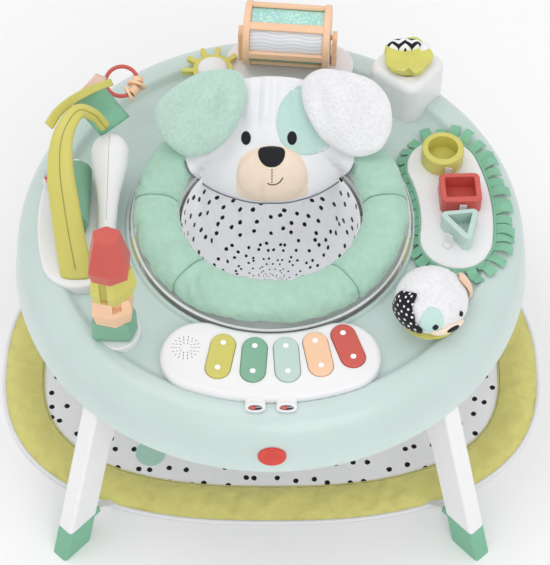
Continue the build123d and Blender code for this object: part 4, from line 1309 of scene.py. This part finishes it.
def build_sleeve(k, cx, cy):
    """Gathered cloth sleeve round a spring."""
    rows, cols = 60, 32
    verts = []
    for i in range(rows):
        z = SLEEVE_TOP_Z - SLEEVE_HEIGHT * i / (rows - 1)
        for j in range(cols):
            c, s = math.cos(TURN * j / cols), math.sin(TURN * j / cols)
            r = 14.6 + 0.75 * math.sin(i * 0.95) + 0.5 * rumple(c * 2, s * 2, i * 0.2)
            verts.append((cx + r * c, cy + r * s, z))
    shape = Shape()
    shape.add(verts, grid_faces(rows, cols, False, True))
    sleeve = place(f"sleeve_{k}", shape, "cloth_white", thickness=1.0,
                   replaces="spring_sleeves" if k == 0 else None)
    stretch(sleeve)


def build_springs():
    for k in range(4):
        a = math.radians(45 + 90 * k)
        cx, cy = SPRING_CIRCLE * math.cos(a), SPRING_CIRCLE * math.sin(a)
        build_coil(k, cx, cy)
        build_sleeve(k, cx, cy)


# ================================================================ tree, on the left of the tray
# x, y, z, half width, half depth from the foot up and over toward the back
TRUNK_STATIONS = [
    (-291, -112, 421.4, 25, 12), (-300, -76, 455, 23, 11), (-308, -38, 497, 22, 10),
    (-313, -2, 535, 19.5, 9), (-309, 36, 564, 15.5, 9), (-290, 74, 574, 11.5, 8),
    (-268, 88, 553, 9.5, 7.5), (-253, 92, 522, 8.5, 7)]
TRUNK_FACING = Vector((0, 0.589, -0.808))       # into the band's flat faces
# x, y, z along the branch
BRANCH = [(-330, 50, 572), (-318, 76, 573), (-300, 105, 566), (-281, 133, 553),
          (-262, 160, 537), (-247, 180, 523)]


def trunk_axes(along):
    """Directions across the band and through its thickness."""
    across = along.cross(TRUNK_FACING).normalized()
    return across, along.cross(across)


def build_trunk():
    path = resample(TRUNK_STATIONS, 90, closed=False)
    cols, foot_rows = 44, 10
    verts = []
    for i, (*p, half_width, half_depth) in enumerate(path):
        along = direction(path, i)
        if i < foot_rows:
            # the foot starts level
            f = i / foot_rows
            along = (along * f + Vector((0, 0, 1)) * (1 - f)).normalized()
        across, through = trunk_axes(along)
        for j in range(cols):
            u, v = superellipse(TURN * j / cols, 3.4)
            crown = 1 - 0.10 * u * u
            verts.append(Vector(p) + across * (u * half_width)
                         + through * (v * half_depth * crown))
    shape = Shape()
    shape.add(verts, capped_faces(len(path), cols))
    place("trunk_band", shape, "lime_moulding", "frame", "tree_trunk")
    # parting line down the middle of the band's front
    line = []
    for i in range(2, len(path)):
        *p, _, half_depth = path[i]
        _, out = trunk_axes(direction(path, i))
        if out.dot(Vector((0, -0.58, 0.81))) < 0:
            out = -out
        line.append(Vector(p) + out * (half_depth + 0.05))
    shape = Shape()
    tube(shape, line, radius=0.75, sides=6)
    place("trunk_seam", shape, "lime_seam", "frame")


KNOB_FOOT = Vector((-250, -38, 424.0))
KNOB_TOWARD = Vector((-246, 84, 482))
KNOB_FLATTEN = 0.9
KNOB_ROUND_START, KNOB_ROUND_LENGTH, KNOB_RADIUS = 126, 30.0, 29.0     # of its round end
# distance along the knob, radius
KNOB_PROFILE = [(-4, 14.5), (10, 15.2), (40, 15.8), (62, 18.0), (82, 22.6), (104, 27.2),
                (KNOB_ROUND_START, KNOB_RADIUS)]


def knob_radius(s):
    if s > KNOB_ROUND_START:
        return KNOB_RADIUS * math.sqrt(1 - ((s - KNOB_ROUND_START) / KNOB_ROUND_LENGTH) ** 2)
    return float(np.interp(s, *zip(*KNOB_PROFILE)))


def build_knob():
    """Pear-shaped white knob and the parting line along its top."""
    rows, cols = 70, 56
    along = (KNOB_TOWARD - KNOB_FOOT).normalized()
    up = (Vector((0, 0, 1)) - along * along.z).normalized()
    side = along.cross(up)
    verts = []
    for k in range(rows):
        s = -3 + 159 * (1 - (1 - k / (rows - 1)) ** 1.35)
        if s < 118:
            r = sum(knob_radius(s + d) for d in (-6, -3, 0, 3, 6)) / 5
        else:
            r = knob_radius(min(s, 155.9))
        for x, y in ellipse(0, 0, r, r * KNOB_FLATTEN, cols):
            verts.append(KNOB_FOOT + along * s + side * x + up * y)
    shape = Shape()
    shape.add(verts, capped_faces(rows, cols))
    place("knob_shell", shape, "white_moulding", "frame", "tree_knob")
    shape = Shape()
    tube(shape, [KNOB_FOOT + along * s + up * (KNOB_FLATTEN * knob_radius(s) + 0.05)
                 for s in np.linspace(18, 150, 60)], radius=0.5, sides=5)
    place("knob_seam", shape, "grey_moulding", "frame")


def build_leaf(name, corners, material, thick, sag, replaces=None):
    """Cloth leaf spanned between four corners, thinner along its edges."""
    rows, cols = 16, 12
    hem = 0.12
    a, b, c, d = [np.array(p, float) for p in corners]
    normal = np.cross(b - a, d - a)
    normal /= np.linalg.norm(normal)
    faces = grid_faces(rows, cols)
    shape = Shape()
    for side in (1, -1):
        verts = []
        for i in range(rows):
            for j in range(cols):
                u, v = i / (rows - 1), j / (cols - 1)
                p = a * (1 - u) * (1 - v) + b * u * (1 - v) + c * u * v + d * (1 - u) * v
                h = (sag * math.sin(math.pi * u) * math.sin(math.pi * v)
                     + 1.2 * rumple(u * 4, v * 4, 3 + thick))
                edge = min(u, 1 - u, v, 1 - v)
                depth = thick * (0.35 + 0.65 * min(1, edge / hem) ** 0.5)
                verts.append(p + normal * (h + side * depth / 2))
        shape.add(verts, faces if side > 0 else [face[::-1] for face in faces])
    under = rows * cols
    ring = ([i * cols for i in range(rows)]
            + [(rows - 1) * cols + j for j in range(1, cols)]
            + [i * cols + cols - 1 for i in range(rows - 2, -1, -1)]
            + list(range(cols - 2, 0, -1)))
    for p, q in zip(ring, ring[1:] + ring[:1]):
        shape.faces.append((p, p + under, q + under, q))
    place(name, shape, material, "frame", replaces)


def build_leaves():
    build_leaf("leaf_green",
               [(-262, 190, 507), (-221, 157, 468), (-262, 108, 478), (-300, 112, 552)],
               "cloth_green", thick=3.0, sag=5.0, replaces="tree_leaves")
    build_leaf("leaf_pink",
               [(-272, 206, 515), (-255, 200, 510), (-292, 112, 560), (-300, 106, 566)],
               "cloth_pink", thick=2.0, sag=2.0)
    shape = Shape()
    ribbon(shape, resample(BRANCH, 40, closed=False), side=(0.55, -0.25, -0.6), width=15,
           thick=4.5, taper=0.25)
    place("branch_strap", shape, "lime_moulding", "frame")


# ================================================================ plush head on its post
PEEK_MIDDLE = centre("peek_puppy")
PEEK_LOW, PEEK_HIGH = [corner * 1000 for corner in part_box("peek_puppy")]
PEEK_RADIUS = (PEEK_HIGH.x - PEEK_LOW.x) / 2 + 1.5
PEEK_WIDEST_Z = PEEK_LOW.z + (PEEK_HIGH.z - PEEK_LOW.z) * 0.44
PEEK_FACING = -68.0         # degrees from +X

# name, material, slot, height over the head, thickness, rings, points round the outline,
# outline (degrees round the post from the face, degrees up)
PEEK_PATCHES = [
    ("peek_eye_patch", "cloth_mint", "mint_plastic", 0.9, 0.8, 8, 48,
     [(-44, 8), (-40, 42), (-24, 52), (-8, 40), (-8, 10), (-24, -4)]),
    ("peek_eye_l", "cloth_black", "dot_fabric", 1.8, 1.2, 5, 24,
     [(-24, 11), (-19, 19), (-14, 12), (-19, 4)]),
    ("peek_eye_r", "cloth_black", "dot_fabric", 1.4, 1.2, 5, 24,
     [(25, 17), (29, 24), (33, 17), (29, 10)]),
    ("peek_snout", "cloth_peach", "plush", 1.0, 5.0, 10, 48,
     [(-26, -6), (-12, 4), (6, 8), (24, 3), (34, -8), (20, -22), (0, -26), (-18, -20)]),
    ("peek_nose", "cloth_black", "dot_fabric", 5.5, 2.2, 6, 30,
     [(-2, 2), (6, 6), (16, 4), (18, -3), (8, -7), (0, -5)]),
    ("peek_ear_dark", "ear_dots", "dot_fabric", 3.4, 2.4, 12, 70,
     [(-76, 62), (-64, 38), (-54, 27), (-50, 14), (-38, 4), (-40, -14), (-60, -30),
      (-86, -30), (-104, -12), (-106, 16), (-106, 42)]),
    ("peek_ear_peach", "plush_peach", "plush", 4.5, 5.0, 10, 60,
     [(88, 46), (104, 34), (116, 4), (114, -26), (96, -34), (80, -20), (74, 8), (76, 34)]),
]


def peek_point(turn, rise, grow=0.0):
    """Point on the domed head: turn round the post, rise up from its widest level."""
    c, s = math.cos(rise), math.sin(rise)
    r = (PEEK_RADIUS + grow) * abs(c) ** 0.85
    height = PEEK_HIGH.z - PEEK_WIDEST_Z + grow if s > 0 else PEEK_WIDEST_Z - PEEK_LOW.z
    return Vector((PEEK_MIDDLE.x + r * math.cos(turn), PEEK_MIDDLE.y + r * math.sin(turn),
                   PEEK_WIDEST_Z + s * height))


def build_peek_head():
    rows, cols = 120, 60
    low, high = -math.pi / 2 * 0.80, math.pi / 2 * 0.985
    verts = []
    for i in range(rows):
        for j in range(cols):
            p = peek_point(TURN * i / rows, low + (high - low) * j / (cols - 1))
            fur = 0.8 * rumple(*(p * 0.25)) + 0.6 * rumple(*(p * 0.7))
            verts.append(p + (p - PEEK_MIDDLE).normalized() * fur)
    faces = grid_faces(rows, cols, True, False)
    top = len(verts)
    verts.append(peek_point(0, math.pi / 2, 0.3))
    verts.append(Vector((PEEK_MIDDLE.x, PEEK_MIDDLE.y, PEEK_LOW.z + 0.4)))
    for i in range(rows):
        j = (i + 1) % rows
        faces.append((i * cols + cols - 1, j * cols + cols - 1, top))
        faces.append((i * cols, top + 1, j * cols))
    shape = Shape()
    shape.add(verts, faces)
    place("peek_head", shape, "plush_white", "puppy", "peek_puppy", subdivide=True)


def build_peek_patch(name, material, slot, height, thick, rings, count, outline):
    print_scale = 0.9       # mm of print per degree
    shape = pillow(resample([(PEEK_FACING + turn, rise) for turn, rise in outline], count),
                   lambda turn, rise, n: peek_point(math.radians(turn), math.radians(rise), n),
                   lambda x, y, rho: height + thick * dome(rho, 4, 0.5),
                   lambda x, y, rho: height - 1.6, rings)
    shape.pattern = [(x * print_scale, y * print_scale, 0) for x, y, _ in shape.pattern]
    place(name, shape, material, "puppy")


def build_peek_scarf():
    """Lime neckerchief under the chin."""
    rows, cols = 60, 6
    verts = []
    for i in range(rows):
        a = math.radians(PEEK_FACING - 82 + 150 * i / (rows - 1))
        for j in range(cols):
            t = j / (cols - 1)
            r = 34 + 13 * t + 1.0 * rumple(a * 6, t * 2, 5)
            z = PEEK_LOW.z + 4.5 - 2.6 * t + 0.8 * rumple(a * 8, t, 2)
            verts.append((PEEK_MIDDLE.x + r * math.cos(a), PEEK_MIDDLE.y + r * math.sin(a), z))
    shape = Shape()
    shape.add(verts, grid_faces(rows, cols))
    place("peek_scarf", shape, "cloth_lime", "puppy", thickness=1.2)


def build_peek():
    build_peek_head()
    for patch in PEEK_PATCHES:
        build_peek_patch(*patch)
    build_peek_scarf()


# ================================================================ sorter fringe, on the right
TILE_RADIUS, TILE_HALF_WIDTH = 286.0, 56.0      # the tile is a curved slot with round ends
TILE_FROM, TILE_TO = math.radians(-8.6), math.radians(20.0)
TRAY_INNER_RADIUS = 221.5


def tray_z(r):
    """Height of the tray's toy surface at a radius."""
    if r < 323:
        return 402.0
    if r < 341:
        t = (r - 323) / 18.0
        return 402 + 13 * t * t * (3 - 2 * t)
    if r < 348:
        return 415.0
    beyond = r - 348.5
    return 369 + math.sqrt(46 * 46 - beyond * beyond)


def arc(cx, cy, radius, angles, outward=1):
    """Points of an arc, each with its normal: x, y, nx, ny."""
    return [(cx + radius * math.cos(a), cy + radius * math.sin(a),
             outward * math.cos(a), outward * math.sin(a)) for a in angles]


def tile_outline():
    sweep = TILE_TO - TILE_FROM
    end = (TILE_RADIUS * math.cos(TILE_TO), TILE_RADIUS * math.sin(TILE_TO))
    start = (TILE_RADIUS * math.cos(TILE_FROM), TILE_RADIUS * math.sin(TILE_FROM))
    return (arc(0, 0, TILE_RADIUS + TILE_HALF_WIDTH,
                [TILE_FROM + sweep * i / 59 for i in range(60)])
            + arc(*end, TILE_HALF_WIDTH, [TILE_TO + math.pi * i / 30 for i in range(1, 30)])
            + arc(0, 0, TILE_RADIUS - TILE_HALF_WIDTH,
                  [TILE_TO - sweep * i / 39 for i in range(40)], outward=-1)
            + arc(*start, TILE_HALF_WIDTH,
                  [TILE_FROM + math.pi + math.pi * i / 30 for i in range(1, 30)]))


def build_fringe():
    """Green cloth strips all round the tile, hanging from a seam band."""
    rng = np.random.default_rng(7)
    outline = tile_outline()
    count = len(outline)
    lengths = [0.0]
    for a, b in zip(outline, outline[1:] + outline[:1]):
        lengths.append(lengths[-1] + math.hypot(b[0] - a[0], b[1] - a[1]))
    total = lengths[-1]

    def at(s):
        """Point and unit normal at a distance round the outline."""
        i = max(0, min(count - 1, int(np.searchsorted(lengths, s) - 1)))
        t = (s - lengths[i]) / max(1e-6, lengths[i + 1] - lengths[i])
        x, y, nx, ny = (p + (q - p) * t for p, q in zip(outline[i], outline[(i + 1) % count]))
        size = math.hypot(nx, ny)
        return x, y, nx / size, ny / size

    shape = Shape()
    band = []
    for i in range(160):
        x, y, nx, ny = at(total * i / 160)
        r = math.hypot(x + nx * 1.5, y + ny * 1.5)
        band.append((x + nx * 1.6, y + ny * 1.6, max(tray_z(r) + 3.0, 413.0)))
    tube(shape, band, radius=2.0, sides=8, closed=True)

    strips = 36
    for k in range(strips):
        x, y, nx, ny = at(total * (k + 0.5) / strips)
        width = total / strips * (0.84 + 0.12 * rng.random())
        swing = (rng.random() - 0.5) * 0.35
        length = 25 + 7 * rng.random()
        lift = 3.0 + 7.0 * rng.random()
        roll = (rng.random() - 0.5) * 0.3
        tx, ty = -ny, nx
        dx = nx * math.cos(swing) + tx * math.sin(swing)
        dy = ny * math.cos(swing) + ty * math.sin(swing)
        # strips toward the seat are shorter and lie flatter
        if nx * x + ny * y < 0:
            length *= 0.62
            lift *= 0.5
        points = []
        for j in range(6):
            t = j / 5
            px, py = x + nx + dx * length * t, y + ny + dy * length * t
            r = math.hypot(px, py)
            if r < TRAY_INNER_RADIUS:
                px, py = px * TRAY_INNER_RADIUS / r, py * TRAY_INNER_RADIUS / r
                r = TRAY_INNER_RADIUS
            arched = tray_z(r) + 1.6 + lift * math.sin(t * 2.4)
            straight = 413.5 * (1 - t) + (tray_z(r) + 1.4) * t
            points.append((px, py, max(arched, straight)))
        ribbon(shape, points, side=(tx, ty, roll), width=width, thick=1.3)
    place("tile_fringe", shape, "cloth_green", "frame", "sorter_fringe",
          smooth=False)


def build_tethers():
    """Webbing that lies on the tile and turns up to each block."""
    # x, y, direction in degrees from +X
    tethers = [(275, 73, 80), (294, -0.5, 88), (268, -57, 50)]
    # distance along that direction, z
    profile = [(-6, 419.0), (-2, 419.6), (2.5, 421.5), (3.2, 430), (3.4, 441)]
    shape = Shape()
    for cx, cy, angle in tethers:
        c, s = math.cos(math.radians(angle)), math.sin(math.radians(angle))
        ribbon(shape, [(cx + c * d, cy + s * d, z) for d, z in profile], side=(-s, c, 0),
               width=11, thick=1.2)
    place("tether_webbing", shape, "webbing_white", "frame", "block_tethers",
          smooth=False)


# ================================================================ pull cloth
def build_pouch(middle):
    """Bunched lime cloth bulging out of its box, with a pinch at the front."""
    rows, cols = 96, 26
    base_z = 481.2 - 4
    verts, pattern = [], []
    for i in range(rows):
        turn = TURN * i / rows
        pinch = bell(wrap(turn - 1.5 * math.pi), 0.16)
        for j in range(cols):
            t = j / (cols - 1)
            bulge = 27 + 11 * min(1, t * 2.2) ** 0.7 - 28 * max(0, t - 0.62) ** 1.2
            fold = ((2.6 * math.sin(5 * turn + 3 * t) + 2.6 * rumple(turn * 3, t * 4, 2))
                    * min(1, t * 3) - 11 * pinch * min(1, t * 2))
            r = bulge + fold
            z = base_z + 22 * math.sin(min(1, t * 1.15) * math.pi / 2) - 6 * max(0, t - 0.7)
            x, y = r * math.cos(turn), r * math.sin(turn)
            verts.append((middle.x + x, middle.y + y, z))
            pattern.append((x * MM, y * MM, 0))
    faces = grid_faces(rows, cols, True, False)
    top = len(verts)
    verts += [(middle.x, middle.y, base_z + 14), (middle.x, middle.y, base_z)]
    pattern += [(0, 0, 0), (0, 0, 0)]
    for i in range(rows):
        j = (i + 1) % rows
        faces.append((i * cols + cols - 1, j * cols + cols - 1, top))
        faces.append((i * cols, top + 1, j * cols))
    shape = Shape()
    shape.add(verts, faces, pattern)
    place("pouch_cloth", shape, "cloth_lime", "cloth", "pull_cloth",
          subdivide=True)


def build_pull_cloth():
    middle = centre("pull_cloth")
    build_pouch(middle)
    # lower part of the cloth inside the box
    shape = Shape()
    tube(shape, [(middle.x, middle.y, z) for z in np.linspace(426, 480, 12)],
         radius=lambda t: 24 + 1.5 * math.sin(t * 9), sides=24)
    place("pouch_inner", shape, "cloth_lime", "cloth")
    # zebra cloth and white tuft on top; outlines are x, y from the middle
    zebra = [(-27, 4), (-20, 16), (0, 20), (20, 17), (25, 6), (12, -2), (-12, -4)]
    shape = pillow(
        resample(zebra, 60),
        lambda x, y, n: Vector((middle.x - 4 + x * 1.15, middle.y + 15 + y * 0.95, 494 + n)),
        lambda x, y, rho: 11.5 * dome(rho, 2.2, 0.5) + 1.2 * rumple(x * 0.12, y * 0.12, 2),
        lambda x, y, rho: -6, rings=14)
    place("zebra_cloth", shape, "cloth_zebra", "cloth")
    tuft = [(18, 0), (22, 14), (34, 13), (36, 2), (27, -5)]
    shape = pillow(
        resample(tuft, 40),
        lambda x, y, n: Vector((middle.x + x, middle.y + 12 + y, 492 + n)),
        lambda x, y, rho: 10 * dome(rho, 2.2, 0.5),
        lambda x, y, rho: -6, rings=10)
    place("white_tuft", shape, "cloth_white", "cloth")


# ================================================================ hoods of the two switches
hood_point = plane(Vector((0, -351.0, 422.5)), ACROSS, Vector((0, -0.70, 0.714)).normalized())


def build_switch(name, hood_x, nub_x):
    """Hood, dark slot, bezel and sliding nub on the front of the tray; the dark slot is painted
    shade inside the opening.
    """
    rim = []
    for i in range(40):
        c, s = math.cos(TURN * i / 40), math.sin(TURN * i / 40)
        rim.append((hood_x + 15.0 * math.copysign(abs(c) ** 0.8, c), 7.6 * s))
    slot = [(hood_x + (x - hood_x) * 0.76, y * 0.60) for x, y in rim]
    shape = pillow(rim, hood_point, lambda x, y, rho: 1.6 * dome(rho, 5, 0.5),
                   lambda x, y, rho: -9 * dome(rho, 4, 0.5), rings=10)
    place(name + "_hood", shape, "white_moulding", "frame")
    # painted shade: a dark sheet over the slot stands in for the shade inside the opening
    shape = pillow(slot, hood_point, lambda x, y, rho: 1.9, lambda x, y, rho: 1.0, rings=4)
    place(name + "_slot_shade", shape, "dark_module_and_slot_shade", "frame")
    shape = Shape()
    tube(shape, [hood_point(x, y, 1.7) for x, y in slot], radius=1.1, sides=8, closed=True)
    place(name + "_bezel", shape, "white_moulding", "frame")
    shape = pillow(ellipse(nub_x, 0, 4.6, 2.8, 24), hood_point,
                   lambda x, y, rho: 2.2 + 1.8 * dome(rho, 4, 0.5),
                   lambda x, y, rho: 2.0, rings=5)
    place(name + "_nub", shape, "coral_moulding", name + "_slider")


# ================================================================ stage
def build_floor():
    half = 9000
    shape = Shape()
    shape.add([(-half, -half, 0), (half, -half, 0), (half, half, 0), (-half, half, 0)],
              [(0, 1, 2, 3)])
    skin["floor_pale"] = Paint("floor_pale").shade((0.93, 0.93, 0.93), rough=0.9,
                                                   mottle=0.004, mottle_scale=1.0)
    build("studio_floor", shape, "floor_pale", recalc=False)


def set_world():
    world = bpy.data.worlds.new("studio")
    bpy.context.scene.world = world
    world.use_nodes = True
    color, strength = world.node_tree.nodes["Background"].inputs[:2]
    color.default_value = (1, 1, 1, 1)
    strength.default_value = 0.88


def add_light(name, location, size, power):
    """Round area light aimed at the toy, in metres and watts."""
    target = Vector((0, 0, 0.3))
    data = bpy.data.lights.new(name, "AREA")
    data.shape = "DISK"
    data.size = size
    data.energy = power
    light = bpy.data.objects.new(name, data)
    bpy.context.scene.collection.objects.link(light)
    light.location = location
    light.rotation_euler = (target - Vector(location)).to_track_quat("-Z", "Y").to_euler()


def add_camera():
    """Long lens from the front, looking down."""
    data = bpy.data.cameras.new("cam")
    camera = bpy.data.objects.new("cam", data)
    bpy.context.scene.collection.objects.link(camera)
    camera.location = (0.0063, -1.8925, 2.8388)
    camera.rotation_euler = (math.radians(36.11), 0, 0)
    data.sensor_width = 36
    data.sensor_fit = "AUTO"
    data.lens = 127.4336283
    data.clip_end = 100
    bpy.context.scene.camera = camera


def build_stage():
    build_floor()
    set_world()
    add_light("key", location=(-0.7, 0.2, 3.5), size=2.2, power=16)
    add_light("fill", location=(0.8, -2.6, 2.7), size=2.4, power=24)
    add_camera()
    view = bpy.context.scene.view_settings
    view.view_transform = "Standard"
    view.look = "None"


# ================================================================ assembly
make_materials()
paint_cad()
build_cushion_cover()
build_cushion_seams()
build_cushion_piping()
build_face()
build_ears()
build_sling()
build_mat()
build_mat_straps()
build_springs()
build_trunk()
build_knob()
build_leaves()
build_peek()
build_fringe()
build_tethers()
build_pull_cloth()
build_switch("power", hood_x=-22, nub_x=-26)
build_switch("volume", hood_x=23, nub_x=19)
build_stage()
